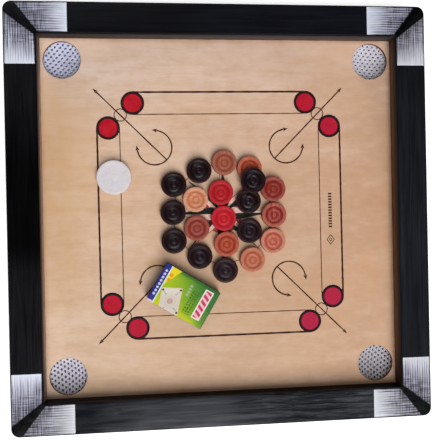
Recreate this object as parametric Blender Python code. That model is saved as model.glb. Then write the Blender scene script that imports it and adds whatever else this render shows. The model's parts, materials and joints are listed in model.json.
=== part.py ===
"""Carrom board, 20 inches square, with its men, striker and a small powder carton.

Sizes are in millimetres and become metres when a mesh is made; +Z is up. The origin
is on the ground, under the middle of the board. +X is the board's right side and +Y
its back. Every physical piece is one object. Where two pieces meet they keep a small
gap. Holes and laps are Boolean modifiers whose hidden tools are named cut_*.
"""

import math

import bmesh
import bpy
from mathutils import Vector

MM = 0.001
GAP = 0.3                # between neighbours

# ---- frame ----------------------------------------------------------------------
BOARD = 508.0            # outside of the frame, both ways (20 inches)
HALF = BOARD / 2
RAIL_W = 38.0            # width of a rail seen from above
RAIL_H = 40.0            # height of a rail
CORNER_R = 10.0          # outside corner of the frame, seen from above
CORNER_STEPS = 6
ARRIS_R = 2.5            # round on the rail's two upper edges
FOOT_BEVEL = 1.0         # bevel on the rail's lower outer edge
REBATE = 8.0             # how far the plywood runs in under the rail's lip
MERGE_DIST = 1e-4        # joins the points of a corner that has no round

# ---- plywood panel --------------------------------------------------------------
SURFACE_Z = 20.0         # height of the playing surface
PLY_T = 4.0
PLY_LOW = SURFACE_Z - PLY_T
PANEL_SIDE = 2 * (HALF - RAIL_W + REBATE - GAP)
POCKET_R = 22.25         # pocket hole
POCKET_AT = 190.4        # pocket centre from the middle of the board
POCKET_OVERCUT = 5.0     # how far the pocket's tool passes the plywood's faces

# ---- nets and tacks -------------------------------------------------------------
NET_TOP = PLY_LOW - GAP
NET_FLANGE_R = 31.5      # flat rim of a net, held to the plywood by tacks
NET_MOUTH_R = 24.6       # inside of the bag, just under the plywood
NET_T = 1.2              # thickness of the knitted net
NET_BOTTOM = 1.6         # lowest point of a net above the ground
NET_FLANGE_LOW = NET_TOP - NET_T
NET_STEPS = 6            # steps from the bag's mouth to its bottom
NET_FULLNESS = 0.55      # power on the cosine; smaller makes a fuller bag
TACKS_PER_NET = 4
TACK_AT = 28.8           # tack from the pocket's centre
TACK_L = 4.0
TACK_HEAD_H = 0.8
TACK_HOLE_R = 1.1
TACK_OVERCUT = 1.0       # how far a tack's hole starts below its head

# ---- battens, screws and nails --------------------------------------------------
BATTEN_W = 36.0
BATTEN_T = 10.0
BATTEN_L = PANEL_SIDE
BATTEN_TOP = PLY_LOW - GAP
BATTEN_MID = BATTEN_TOP - BATTEN_T / 2
LAP_L = BATTEN_W + 2 * GAP
LAP_TOOL_W = BATTEN_W + 4.0      # wider than the batten it cuts

SCREW_SINK = 0.2         # screw head above the batten's lower face
SCREW_FOOT = BATTEN_TOP - BATTEN_T + SCREW_SINK
SCREW_AT = HALF - RAIL_W + REBATE / 2    # under the middle of the rail's lip
BATTEN_SCREW_L = 26.0
LAP_SCREW_L = 9.2

NAIL_L = 38.0
NAIL_HEAD_R = 2.2
NAIL_HEAD_T = 1.0
NAIL_SHANK_R = 1.2
NAIL_POINT_L = 2.0
NAIL_SINK = 0.5          # nail head in from the rail's outer face
NAIL_INSET = 14.0        # nail's axis from the frame's back or front face
NAIL_Z = 29.0
NAIL_OVERCUT = 2.0       # how far the hole's tool starts outside the nail head

# ---- men and striker ------------------------------------------------------------
REST_Z = SURFACE_Z + GAP         # underside of whatever lies on the board
MAN_R = 15.5             # a man is 31 mm across
MAN_T = 8.0
STRIKER_R = 20.65        # the striker is 41.3 mm across
STRIKER_T = 9.0
STRIKER_AT = (-131.0, 48.0)

# The men lie in the opening hexagon: five columns of 3, 4, 5, 4 and 3 men.
HEX_PITCH = 34.0
COLUMN_STEP = HEX_PITCH * math.cos(math.radians(30))
# Each entry: name, column, row, and how far (mm) the man lies off its ideal spot.
MEN = [
    ("man_black_1", -2, 1, (-0.6, 4.5)),
    ("man_black_2", -2, 0, (-2.1, 4.5)),
    ("man_black_3", -2, -1, (-1.6, 4.0)),
    ("man_black_4", -1, 1.5, (0.9, 4.0)),
    ("man_natural_1", -1, 0.5, (-4.1, 3.0)),
    ("man_natural_2", -1, -0.5, (-3.1, 2.0)),
    ("man_black_5", -1, -1.5, (-0.1, 1.5)),
    ("man_natural_3", 0, 2, (2.5, -3.5)),
    ("queen_1", 0, 1, (-2.5, -6.0)),
    ("queen_2", 0, 0, (0.5, -3.5)),
    ("man_natural_4", 0, -1, (3.5, -1.2)),
    ("man_black_6", 0, -2, (1.5, 0.8)),
    ("man_natural_5", 1, 1.5, (4.1, 6.0)),
    ("man_black_7", 1, 0.5, (2.1, 0.0)),
    ("man_black_8", 1, -0.5, (2.6, -2.5)),
    ("man_natural_6", 1, -1.5, (5.6, -4.0)),
    ("man_natural_7", 2, 1, (3.6, -2.5)),
    ("man_natural_8", 2, 0, (4.1, -0.5)),
    ("man_natural_9", 2, -1, (2.1, 1.5)),
]
STACKED_MAN = ("man_black_9", (36.5, 41.5))   # lies on three of the others

# ---- powder carton --------------------------------------------------------------
CARTON_L, CARTON_W, CARTON_H = 73.0, 50.0, 18.0
CARD_T = 0.6             # card thickness
CARTON_AT = (-51.0, -95.6)       # middle of the carton on the board
CARTON_TURN = -31.3      # degrees, its long side against +X
FLAP_W = CARTON_W - 1.0

# ---- the board's four sides and corners -----------------------------------------
# Unit direction (x, y) of each side, anticlockwise from the back.
SIDES = {"back": (0, 1), "left": (-1, 0), "front": (0, -1), "right": (1, 0)}
# Signs of x and y at each corner.
CORNERS = {"back_left": (-1, 1), "back_right": (1, 1),
           "front_left": (-1, -1), "front_right": (1, -1)}

# ---- materials ------------------------------------------------------------------
MATERIALS = {
    "gloss_black_paint": dict(colour=(0.012, 0.011, 0.013), roughness=0.25),
    "plywood": dict(colour=(0.60, 0.42, 0.27), roughness=0.45),
    "batten_wood": dict(colour=(0.55, 0.38, 0.22), roughness=0.7),
    "knitted_net": dict(colour=(0.72, 0.70, 0.76), roughness=0.8),
    "zinc_steel": dict(colour=(0.55, 0.55, 0.56), roughness=0.35, metallic=1.0),
    "man_black_lacquer": dict(colour=(0.014, 0.012, 0.018), roughness=0.3),
    "man_natural_wood": dict(colour=(0.50, 0.16, 0.08), roughness=0.45),
    "queen_red_lacquer": dict(colour=(0.62, 0.015, 0.035), roughness=0.35),
    "striker_white": dict(colour=(0.78, 0.76, 0.78), roughness=0.3),
    "printed_card": dict(colour=(0.22, 0.50, 0.06), roughness=0.35),
}
# Material of a man, by its name without the number.
MAN_MATERIALS = {"man_black": "man_black_lacquer",
                 "man_natural": "man_natural_wood",
                 "queen": "queen_red_lacquer"}


def make_material(name, colour, roughness, metallic=0.0):
    finish = bpy.data.materials.new(name)
    finish.use_nodes = True
    shader = finish.node_tree.nodes["Principled BSDF"]
    shader.inputs["Base Color"].default_value = (*colour, 1.0)
    shader.inputs["Roughness"].default_value = roughness
    shader.inputs["Metallic"].default_value = metallic
    finish.diffuse_color = (*colour, 1.0)
    return finish


def material(name):
    """The named material, made at its first use."""
    return bpy.data.materials.get(name) or make_material(name, **MATERIALS[name])


# ---- helpers --------------------------------------------------------------------
def clear_scene():
    for old in list(bpy.data.objects):
        bpy.data.objects.remove(old, do_unlink=True)


def put(name, shape, finish, place=(0, 0, 0), turn=0.0, smooth=None):
    """Makes an object from a bmesh in millimetres, about its own origin.

    turn is about Z; smooth is the angle above which an edge stays sharp, or None
    for flat shading. Both are in degrees.
    """
    bmesh.ops.scale(shape, vec=(MM, MM, MM), verts=shape.verts)
    bmesh.ops.recalc_face_normals(shape, faces=shape.faces)
    mesh = bpy.data.meshes.new(name)
    shape.to_mesh(mesh)
    shape.free()
    if smooth is not None:
        mesh.shade_smooth()
        mesh.set_sharp_from_angle(angle=math.radians(smooth))
    if finish is not None:
        mesh.materials.append(material(finish))
    obj = bpy.data.objects.new(name, mesh)
    bpy.context.scene.collection.objects.link(obj)
    obj.location = Vector(place) * MM
    obj.rotation_euler = (0, 0, math.radians(turn))
    return obj


def aim(obj, direction):
    """Turns the object's +Z to a direction."""
    obj.rotation_euler = Vector(direction).to_track_quat("Z", "Y").to_euler()


def lathe(profile, segments):
    """A closed turned body from (radius, height) points that start and end on the
    axis, at radius 0."""
    shape = bmesh.new()
    rings = []
    for radius, height in profile:
        if radius == 0:
            rings.append([shape.verts.new((0, 0, height))])
            continue
        angles = [2 * math.pi * k / segments for k in range(segments)]
        rings.append([shape.verts.new((radius * math.cos(a), radius * math.sin(a), height))
                      for a in angles])
    for low, high in zip(rings, rings[1:]):
        for k in range(segments):
            n = (k + 1) % segments
            if len(low) == 1:
                shape.faces.new((low[0], high[n], high[k]))
            elif len(high) == 1:
                shape.faces.new((low[k], low[n], high[0]))
            else:
                shape.faces.new((low[k], low[n], high[n], high[k]))
    return shape


def block(size, centre=(0, 0, 0)):
    shape = bmesh.new()
    bmesh.ops.create_cube(shape, size=1.0)
    bmesh.ops.scale(shape, vec=size, verts=shape.verts)
    bmesh.ops.translate(shape, vec=centre, verts=shape.verts)
    return shape


def cutter(name, shape, place=(0, 0, 0), turn=0.0):
    """A hidden body that a Boolean takes away."""
    tool = put(name, shape, None, place, turn)
    tool.hide_render = True
    tool.display_type = "WIRE"
    return tool


def cut(tool, *bodies):
    """Takes the tool away from each body."""
    for body in bodies:
        boolean = body.modifiers.new(tool.name, "BOOLEAN")
        boolean.operation = "DIFFERENCE"
        boolean.solver = "EXACT"
        boolean.object = tool


# ---- frame: one moulding round a rounded square, parted on the diagonals ---------
def rail_profile():
    """(distance in from the outer face, height), once round the rail's section."""
    arris_mid = ARRIS_R * (1 - math.sqrt(0.5))
    rebate_face = RAIL_W - REBATE
    return [
        (0.0, FOOT_BEVEL), (FOOT_BEVEL, 0.0),
        (rebate_face, 0.0), (rebate_face, SURFACE_Z + GAP),
        (RAIL_W, SURFACE_Z + GAP),
        (RAIL_W, RAIL_H - ARRIS_R),
        (RAIL_W - arris_mid, RAIL_H - arris_mid),
        (RAIL_W - ARRIS_R, RAIL_H),
        (ARRIS_R, RAIL_H), (arris_mid, RAIL_H - arris_mid), (0.0, RAIL_H - ARRIS_R),
    ]


def frame_path(inset):
    """Points of a rounded square, anticlockwise, inset from the board's outline."""
    radius = max(CORNER_R - inset, 0.0)
    centre = HALF - inset - radius
    points = []
    for quarter in range(4):
        centre_x = centre * (1 if quarter in (0, 3) else -1)
        centre_y = centre * (1 if quarter in (0, 1) else -1)
        for k in range(CORNER_STEPS + 1):
            angle = math.radians(90 * quarter + 90 * k / CORNER_STEPS)
            points.append((centre_x + radius * math.cos(angle),
                           centre_y + radius * math.sin(angle)))
    return points


def frame_ring():
    shape = bmesh.new()
    loops = [[shape.verts.new((x, y, z)) for x, y in frame_path(inset)]
             for inset, z in rail_profile()]
    for loop, following in zip(loops, loops[1:] + loops[:1]):
        for k in range(len(loop)):
            n = (k + 1) % len(loop)
            shape.faces.new((loop[k], loop[n], following[n], following[k]))
    bmesh.ops.remove_doubles(shape, verts=shape.verts, dist=MERGE_DIST)
    bmesh.ops.dissolve_degenerate(shape, edges=shape.edges, dist=MERGE_DIST)
    return shape


def make_rail(side, facing):
    """facing: direction of the rail's outer face in degrees from +X."""
    shape = frame_ring()
    for turn in (45, -45):
        # the plane through the corner's diagonal, half a gap inside the rail
        angle = math.radians(facing + turn)
        normal = Vector((math.cos(angle), math.sin(angle), 0))
        parted = bmesh.ops.bisect_plane(
            shape, geom=shape.verts[:] + shape.edges[:] + shape.faces[:], dist=1e-6,
            plane_co=normal * (GAP / 2), plane_no=normal, clear_inner=True)
        open_edges = [item for item in parted["geom_cut"]
                      if isinstance(item, bmesh.types.BMEdge) and item.is_boundary]
        bmesh.ops.edgeloop_fill(shape, edges=open_edges)
    return put("rail_" + side, shape, "gloss_black_paint", smooth=40)


# ---- panel, nets and tacks --------------------------------------------------------
def make_panel():
    """Square plywood panel, still without its holes."""
    return put("playing_surface",
               block((PANEL_SIDE, PANEL_SIDE, PLY_T), (0, 0, SURFACE_Z - PLY_T / 2)),
               "plywood")


def cut_pocket(corner, place, panel):
    low = PLY_LOW - POCKET_OVERCUT
    high = SURFACE_Z + POCKET_OVERCUT
    profile = [(0, low), (POCKET_R, low), (POCKET_R, high), (0, high)]
    cut(cutter("cut_pocket_" + corner, lathe(profile, 48), place), panel)


def bag_wall(mouth_radius, depth):
    """(radius, height) down one face of the bag, without its two ends."""
    angles = [math.radians(90 * k / NET_STEPS) for k in range(1, NET_STEPS)]
    return [(mouth_radius * math.cos(a) ** NET_FULLNESS,
             NET_FLANGE_LOW - depth * math.sin(a)) for a in angles]


def make_net(corner, place):
    """Up the inside of the bag, round the flange and down the outside."""
    depth = NET_FLANGE_LOW - NET_BOTTOM
    inner_depth = depth - NET_T
    outer_r = NET_MOUTH_R + NET_T
    profile = [
        (0, NET_FLANGE_LOW - inner_depth),
        *reversed(bag_wall(NET_MOUTH_R, inner_depth)),
        (NET_MOUTH_R, NET_TOP),
        (NET_FLANGE_R, NET_TOP), (NET_FLANGE_R, NET_FLANGE_LOW),
        (outer_r, NET_FLANGE_LOW),
        *bag_wall(outer_r, depth),
        (0, NET_BOTTOM)]
    return put("pocket_net_" + corner, lathe(profile, 24), "knitted_net", place, smooth=50)


# Domed head below, short shank up into the plywood: (radius, height).
TACK_PROFILE = [(0, 0), (1.7, 0.15), (2.5, TACK_HEAD_H), (0.7, TACK_HEAD_H),
                (0.7, 3.3), (0, TACK_L)]
TACK_HOLE_PROFILE = [(0, -TACK_OVERCUT), (TACK_HOLE_R, -TACK_OVERCUT),
                     (TACK_HOLE_R, TACK_L + GAP), (0, TACK_L + GAP)]


def add_tacks(corner, pocket, panel, net):
    for k in range(TACKS_PER_NET):
        angle = math.radians(45 + 360 / TACKS_PER_NET * k)
        place = (pocket[0] + TACK_AT * math.cos(angle),
                 pocket[1] + TACK_AT * math.sin(angle),
                 NET_FLANGE_LOW - GAP - TACK_HEAD_H)
        label = "tack_%s_%d" % (corner, k + 1)
        put("net_" + label, lathe(TACK_PROFILE, 8), "zinc_steel", place, smooth=30)
        cut(cutter("cut_" + label, lathe(TACK_HOLE_PROFILE, 6), place), panel, net)


# ---- battens, screws and nails ------------------------------------------------------
def make_battens():
    """Two battens half-lapped at the middle, batten_y over batten_x."""
    batten_x = put("batten_x", block((BATTEN_L, BATTEN_W, BATTEN_T), (0, 0, BATTEN_MID)),
                   "batten_wood")
    batten_y = put("batten_y", block((BATTEN_W, BATTEN_L, BATTEN_T), (0, 0, BATTEN_MID)),
                   "batten_wood")
    rise = BATTEN_T / 2 - GAP / 2
    cut(cutter("cut_lap_upper", block((LAP_L, LAP_TOOL_W, BATTEN_T),
                                      (0, 0, BATTEN_MID + rise))), batten_x)
    cut(cutter("cut_lap_lower", block((LAP_TOOL_W, LAP_L, BATTEN_T),
                                      (0, 0, BATTEN_MID - rise))), batten_y)
    return batten_x, batten_y


def screw_profile(length, grow=0.0):
    """Countersunk wood screw, head down at 0, point up at length."""
    head, shank = 3.6 + grow, 1.7 + grow
    return [(0, -grow), (head, -grow), (head, 0.5), (shank, 2.6 + grow),
            (shank, length - 3.0), (0, length + grow)]


def add_screw(name, hole_name, length, x, y, *bodies):
    """An upright screw and its hole through the bodies."""
    place = (x, y, SCREW_FOOT)
    put(name, lathe(screw_profile(length), 12), "zinc_steel", place, smooth=30)
    cut(cutter(hole_name, lathe(screw_profile(length, GAP), 12), place), *bodies)


# Small flat head at 0, point at the nail's length: (radius, height).
NAIL_PROFILE = [
    (0, 0), (NAIL_HEAD_R, 0), (NAIL_HEAD_R, NAIL_HEAD_T), (NAIL_SHANK_R, NAIL_HEAD_T),
    (NAIL_SHANK_R, NAIL_L - NAIL_POINT_L), (0, NAIL_L)]
NAIL_HOLE_PROFILE = [
    (0, -NAIL_OVERCUT), (NAIL_HEAD_R + GAP, -NAIL_OVERCUT),
    (NAIL_HEAD_R + GAP, NAIL_HEAD_T + GAP), (NAIL_SHANK_R + GAP, NAIL_HEAD_T + GAP),
    (NAIL_SHANK_R + GAP, NAIL_L + GAP), (0, NAIL_L + GAP)]


def add_corner_nail(corner, sign_x, sign_y, rails):
    """A nail across the mitre, driven in from the left or the right side."""
    place = (sign_x * (HALF - NAIL_SINK), sign_y * (HALF - NAIL_INSET), NAIL_Z)
    nail = put("corner_nail_" + corner, lathe(NAIL_PROFILE, 12), "zinc_steel",
               place, smooth=30)
    hole = cutter("cut_nail_" + corner, lathe(NAIL_HOLE_PROFILE, 12), place)
    for obj in (nail, hole):
        aim(obj, (-sign_x, 0, 0))
    back_or_front, left_or_right = corner.split("_")
    cut(hole, rails[left_or_right], rails[back_or_front])


# ---- men and striker ----------------------------------------------------------------
def disc_profile(radius, thickness, bevel, rim, dish_in, dish_depth):
    """Bevelled disc with a shallow dish in its top. rim and dish_in are the dish's
    upper and lower edges, measured in from the disc's side."""
    floor = thickness - dish_depth
    return [
        (0, 0.0), (radius - bevel, 0.0), (radius, bevel), (radius, thickness - bevel),
        (radius - bevel, thickness), (radius - rim, thickness),
        (radius - dish_in, floor), (0, floor)]


def make_man(name, x, y, z):
    profile = disc_profile(MAN_R, MAN_T, bevel=1.0, rim=4.0, dish_in=5.2, dish_depth=0.8)
    kind = name.rsplit("_", 1)[0]
    put(name, lathe(profile, 20), MAN_MATERIALS[kind], (x, y, z), smooth=30)


def make_men():
    for name, column, row, (off_x, off_y) in MEN:
        make_man(name, column * COLUMN_STEP + off_x, row * HEX_PITCH + off_y, REST_Z)
    name, (x, y) = STACKED_MAN
    make_man(name, x, y, REST_Z + MAN_T + GAP)


def make_striker():
    profile = disc_profile(STRIKER_R, STRIKER_T, bevel=1.2, rim=4.0, dish_in=4.8,
                           dish_depth=0.5)
    put("striker", lathe(profile, 36), "striker_white", (*STRIKER_AT, REST_Z), smooth=30)


# ---- powder carton --------------------------------------------------------------------
def make_carton():
    """A card sleeve, closed at one end, and the flap over the other."""
    place = (*CARTON_AT, REST_Z)
    middle = CARTON_H / 2
    carton = put("powder_carton", block((CARTON_L, CARTON_W, CARTON_H), (0, 0, middle)),
                 "printed_card", place, CARTON_TURN)
    hollow = block((CARTON_L, CARTON_W - 2 * CARD_T, CARTON_H - 2 * CARD_T),
                   (CARD_T, 0, middle))
    cut(cutter("cut_carton", hollow, place, CARTON_TURN), carton)

    # the flap hangs from the fold along the top edge of the open end
    turn = math.radians(CARTON_TURN)
    along = Vector((math.cos(turn), math.sin(turn), 0))
    fold = Vector((*CARTON_AT, REST_Z + GAP + CARTON_H)) + along * (CARTON_L / 2 + GAP)
    put("powder_carton_flap",
        block((CARD_T, FLAP_W, CARTON_H), (CARD_T / 2, 0, -middle)),
        "printed_card", fold, CARTON_TURN)


# ---- build ------------------------------------------------------------------------------
def build():
    clear_scene()
    rails = {side: make_rail(side, 90 + 90 * k) for k, side in enumerate(SIDES)}
    panel = make_panel()
    for corner, (sign_x, sign_y) in CORNERS.items():
        pocket = (sign_x * POCKET_AT, sign_y * POCKET_AT, 0)
        cut_pocket(corner, pocket, panel)
        net = make_net(corner, pocket)
        add_tacks(corner, pocket, panel, net)

    batten_x, batten_y = make_battens()
    # through the batten's end and the panel into the rail's lip
    for side, (x, y) in SIDES.items():
        add_screw("batten_screw_" + side, "cut_screw_" + side, BATTEN_SCREW_L,
                  x * SCREW_AT, y * SCREW_AT,
                  rails[side], panel, batten_y if x == 0 else batten_x)
    add_screw("lap_screw", "cut_lap_screw", LAP_SCREW_L, 0, 0, batten_x, batten_y)

    for corner, (sign_x, sign_y) in CORNERS.items():
        add_corner_nail(corner, sign_x, sign_y, rails)

    make_men()
    make_striker()
    make_carton()


build()
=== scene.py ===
"""Looks of the carrom board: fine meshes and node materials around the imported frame.

Lengths in the build code are millimetres and are scaled to metres when a mesh is made.
The frame has its origin on the ground under the middle of the board: +Y is its back,
+X its right and +Z is up.
"""

import json
import math
import random
from functools import cached_property

import bmesh
import bpy
from mathutils import Matrix, Vector

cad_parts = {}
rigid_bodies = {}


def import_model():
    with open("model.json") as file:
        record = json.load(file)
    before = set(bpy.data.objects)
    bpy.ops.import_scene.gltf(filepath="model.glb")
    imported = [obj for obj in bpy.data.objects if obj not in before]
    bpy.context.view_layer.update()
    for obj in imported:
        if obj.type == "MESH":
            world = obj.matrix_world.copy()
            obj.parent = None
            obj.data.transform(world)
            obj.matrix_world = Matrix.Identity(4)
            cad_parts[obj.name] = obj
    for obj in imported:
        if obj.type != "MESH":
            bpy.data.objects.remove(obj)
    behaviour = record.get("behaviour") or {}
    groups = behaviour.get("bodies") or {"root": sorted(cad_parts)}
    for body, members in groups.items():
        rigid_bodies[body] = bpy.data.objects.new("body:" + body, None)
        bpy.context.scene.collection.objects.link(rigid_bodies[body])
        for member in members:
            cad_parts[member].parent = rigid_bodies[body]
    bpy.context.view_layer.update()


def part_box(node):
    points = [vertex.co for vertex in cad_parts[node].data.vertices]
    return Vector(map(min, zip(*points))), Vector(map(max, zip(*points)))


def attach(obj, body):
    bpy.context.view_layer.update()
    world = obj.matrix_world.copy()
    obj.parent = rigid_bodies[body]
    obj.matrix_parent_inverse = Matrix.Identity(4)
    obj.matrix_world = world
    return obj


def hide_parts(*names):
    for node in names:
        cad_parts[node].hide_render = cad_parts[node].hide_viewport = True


for old in list(bpy.data.objects):
    bpy.data.objects.remove(old, do_unlink=True)

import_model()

MM = 0.001
HALF = 254.0                       # half the board's outer width
RAIL_W = 38.0
RAIL_H = 40.0
RAIL_INNER = HALF - RAIL_W         # from the board's middle to a rail's inner face
REBATE = 8.0                       # how far the plywood reaches under a rail
SURFACE = 20.0                     # height of the playing surface
GAP = 0.3                          # clearance between pieces
PLY_LOW = SURFACE - 4.0
PLY_HALF = HALF - RAIL_W + REBATE - GAP
UNDER_PLY = PLY_LOW - GAP          # where nets and battens meet the plywood
POCKET_R = 22.25
POCKET_AT = 190.4                  # pocket centre, from the middle along X and Y
TACK_RING_R = 28.8                 # net tacks stand on this circle round a pocket
BATTEN_SCREW_AT = 220
CORNERS = {"back_left": (-1, 1), "back_right": (1, 1),
           "front_left": (-1, -1), "front_right": (1, -1)}
SIDES = {"back": (0, 1), "left": (-1, 0), "front": (0, -1), "right": (1, 0)}


def swatch(red, green, blue):
    """Colour of a painted swatch, 0 to 255, as a linear base colour."""
    out = []
    for value in (red, green, blue):
        value = value / 255
        value = value / 12.92 if value <= 0.04045 else ((value + 0.055) / 1.055) ** 2.4
        out.append(max((value - 0.008) / 1.06, 0.0005))
    return tuple(out)


def tint(colour, times, plus=0.0, most=1.0):
    """The colour made lighter or darker, each channel held to most."""
    return tuple(min(value * times + plus, most) for value in colour)


def foot_of(node):
    """Middle of a CAD node's foot, in millimetres."""
    low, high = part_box(node)
    middle = (low + high) / 2 / MM
    return Vector((middle.x, middle.y, (low / MM).z))


# ---- node helpers -------------------------------------------------------------------
def math_node(operation, swapped=False):
    """A method that feeds its operands to a Math node."""
    def apply(self, *others):
        inputs = (*others, self) if swapped else (self, *others)
        return self.tree.make("Math", inputs, operation=operation)
    return apply


class Field:
    """A value inside a node tree. Arithmetic on it adds Math nodes."""

    __add__ = math_node("ADD")
    __radd__ = math_node("ADD", swapped=True)
    __sub__ = math_node("SUBTRACT")
    __rsub__ = math_node("SUBTRACT", swapped=True)
    __mul__ = math_node("MULTIPLY")
    __truediv__ = math_node("DIVIDE")
    __mod__ = math_node("MODULO")
    __pow__ = math_node("POWER")
    __rpow__ = math_node("POWER", swapped=True)
    __abs__ = math_node("ABSOLUTE")
    sine = math_node("SINE")
    sqrt = math_node("SQRT")
    larger = math_node("MAXIMUM")
    linear = math_node("MULTIPLY_ADD")     # linear(times, plus)

    def __init__(self, tree, socket):
        self.tree = tree
        self.socket = socket

    def output(self, key):
        """Another output of the same node."""
        return Field(self.tree, self.socket.node.outputs[key])

    def clamped(self):
        """Holds this Math node's result between 0 and 1."""
        self.socket.node.use_clamp = True
        return self

    def ramp(self, start, end, low=0.0, high=1.0, kind="LINEAR"):
        """low where the value is start, high where it is end, held level outside."""
        return self.tree.make("MapRange", (self, start, end, low, high),
                              interpolation_type=kind, clamp=True)

    def ease(self, *ends):
        """A ramp with soft ends."""
        return self.ramp(*ends, kind="SMOOTHSTEP")


def length(across, up):
    return (across * across + up * up).sqrt()


class Tree:
    """Node tree of a material or world."""

    def __init__(self, owner):
        self.owner = owner
        owner.use_nodes = True
        self.nodes = owner.node_tree.nodes
        self.links = owner.node_tree.links
        self.nodes.clear()

    def feed(self, socket, value):
        if isinstance(value, Field):
            self.links.new(value.socket, socket)
        elif socket.type == "RGBA" and len(value) == 3:
            socket.default_value = (*value, 1.0)
        else:
            socket.default_value = value

    def make(self, kind, inputs=(), output=0, **settings):
        """Adds a node. inputs are in socket order, or a dict by socket key."""
        node = self.nodes.new("ShaderNode" + kind)
        for key, value in settings.items():
            setattr(node, key, value)
        pairs = inputs.items() if isinstance(inputs, dict) else enumerate(inputs)
        for key, value in pairs:
            self.feed(node.inputs[key], value)
        return Field(self, node.outputs[output])

    def show(self, kind, shader):
        self.feed(self.nodes.new("ShaderNode" + kind).inputs[0], shader)


class Paint(Tree):
    """A material made in nodes. Every length in it is in millimetres of the object."""

    def __init__(self, name):
        super().__init__(bpy.data.materials.new(name))
        metres = self.make("TexCoord", output="Object")
        self.point = self.vector("MULTIPLY", metres, (1 / MM,) * 3)

    def split(self, vector):
        parts = self.make("SeparateXYZ", (vector,))
        return [parts.output(k) for k in range(3)]

    @cached_property
    def place(self):
        """x, y and z of the shaded point."""
        return self.split(self.point)

    @cached_property
    def facing(self):
        """x, y and z of the surface's own direction, free of bump."""
        normal = self.make("NewGeometry", output="Normal")
        return self.split(self.make("VectorTransform", (normal,), vector_type="NORMAL",
                                    convert_from="WORLD", convert_to="OBJECT"))

    def from_axis(self):
        """Distance from the Z axis."""
        x, y, _ = self.place
        return length(x - 0.0, y - 0.0)

    def vector(self, operation, first, second):
        return self.make("VectorMath", (first, second), operation=operation)

    def combine(self, x, y, z):
        return self.make("CombineXYZ", (x, y, z))

    def noise(self, scale, detail=3.0, rough=0.5, twist=0.0, shift=(0, 0, 0), at=None):
        """Noise, about 0.25 to 0.75. scale is cells per millimetre on each axis."""
        if not isinstance(scale, tuple):
            scale = (scale,) * 3
        at = self.vector("MULTIPLY", at or self.point, scale)
        at = self.vector("ADD", at, shift)
        return self.make("TexNoise", {"Vector": at, "Scale": 1.0, "Detail": detail,
                                      "Roughness": rough, "Distortion": twist})

    def mix(self, share, first, second):
        return self.make("Mix", {0: share, 6: first, 7: second}, output=2,
                         data_type="RGBA")

    def layers(self, colour, *coats):
        """The colour under coats of (mask, colour), the last one on top."""
        for mask, coat in coats:
            colour = self.mix(mask, colour, coat)
        return colour

    def bump(self, height, depth, strength, **after):
        """depth is in millimetres; Normal may give a bump to build on."""
        return self.make("Bump", {"Strength": strength, "Distance": depth * MM,
                                  "Height": height, **after})

    def finish(self, **inputs):
        """Feeds the Principled shader's sockets, their spaces written as underscores."""
        named = {key.replace("_", " "): value for key, value in inputs.items()}
        self.show("OutputMaterial", self.make("BsdfPrincipled", named))
        return self.owner


# ---- mesh helpers -------------------------------------------------------------------
def smooth_mesh(mesh, angle):
    mesh.shade_smooth()
    mesh.set_sharp_from_angle(angle=math.radians(angle))


def resize(form, times):
    bmesh.ops.scale(form, vec=(times,) * 3, verts=form.verts)


def raw_mesh(name, form):
    """Mesh from a bmesh, which is used up."""
    mesh = bpy.data.meshes.new(name)
    form.to_mesh(mesh)
    form.free()
    return mesh


def add_object(name, mesh):
    obj = bpy.data.objects.new(name, mesh)
    bpy.context.scene.collection.objects.link(obj)
    return obj


def evaluated_mesh(obj):
    """The object's mesh with its modifiers applied."""
    graph = bpy.context.evaluated_depsgraph_get()
    return bpy.data.meshes.new_from_object(obj.evaluated_get(graph))


def finished_mesh(name, form, smooth=35.0, recalc=True):
    """Mesh in metres from a bmesh in millimetres. smooth is the largest soft angle."""
    if recalc:
        bmesh.ops.recalc_face_normals(form, faces=form.faces)
    if form.calc_volume(signed=True) < 0:
        bmesh.ops.reverse_faces(form, faces=form.faces)
    resize(form, MM)
    mesh = raw_mesh(name, form)
    if smooth is not None:
        smooth_mesh(mesh, smooth)
    return mesh


def put_mesh(name, mesh, material, slot, stands_for=(), body="board", at=(0, 0, 0),
             rotation=(0, 0, 0)):
    """Places a mesh, rides it on its body and hides the CAD nodes it stands for."""
    if material not in list(mesh.materials):     # a shared mesh has it already
        mesh.materials.append(material)
    obj = add_object(name, mesh)
    obj.location = Vector(at) * MM
    obj.rotation_euler = rotation
    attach(obj, body)
    if stands_for:
        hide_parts(*stands_for)


def put(name, form, material, slot, stands_for=(), smooth=35.0, recalc=True, **placing):
    mesh = finished_mesh(name, form, smooth, recalc)
    put_mesh(name, mesh, material, slot, stands_for, **placing)


def lathe(profile, segments, form=None, at=(0, 0, 0)):
    """Closed turned body from (radius, height), foot's middle to top's middle."""
    form = form or bmesh.new()
    rings = []
    for radius, height in profile:
        if radius == 0:
            rings.append([form.verts.new((at[0], at[1], at[2] + height))])
        else:
            rings.append([
                form.verts.new((at[0] + radius * math.cos(2 * math.pi * k / segments),
                                at[1] + radius * math.sin(2 * math.pi * k / segments),
                                at[2] + height)) for k in range(segments)])
    for low, high in zip(rings, rings[1:]):
        for k in range(segments):
            n = (k + 1) % segments
            if len(low) == 1:
                form.faces.new((low[0], high[n], high[k]))
            elif len(high) == 1:
                form.faces.new((low[k], low[n], high[0]))
            else:
                form.faces.new((low[k], low[n], high[n], high[k]))
    return form


def smooth_curve(points, per):
    """Catmull-Rom through (radius, height) points, per steps on each span."""
    out = []
    for i in range(len(points) - 1):
        span = (points[max(i - 1, 0)], points[i], points[i + 1],
                points[min(i + 2, len(points) - 1)])
        for k in range(per):
            t = k / per
            out.append(tuple(
                0.5 * (2 * b + (c - a) * t + (2 * a - 5 * b + 4 * c - d) * t * t
                       + (3 * b - a - 3 * c + d) * t ** 3)
                for a, b, c, d in zip(*span)))
    out.append(points[-1])
    return out


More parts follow.
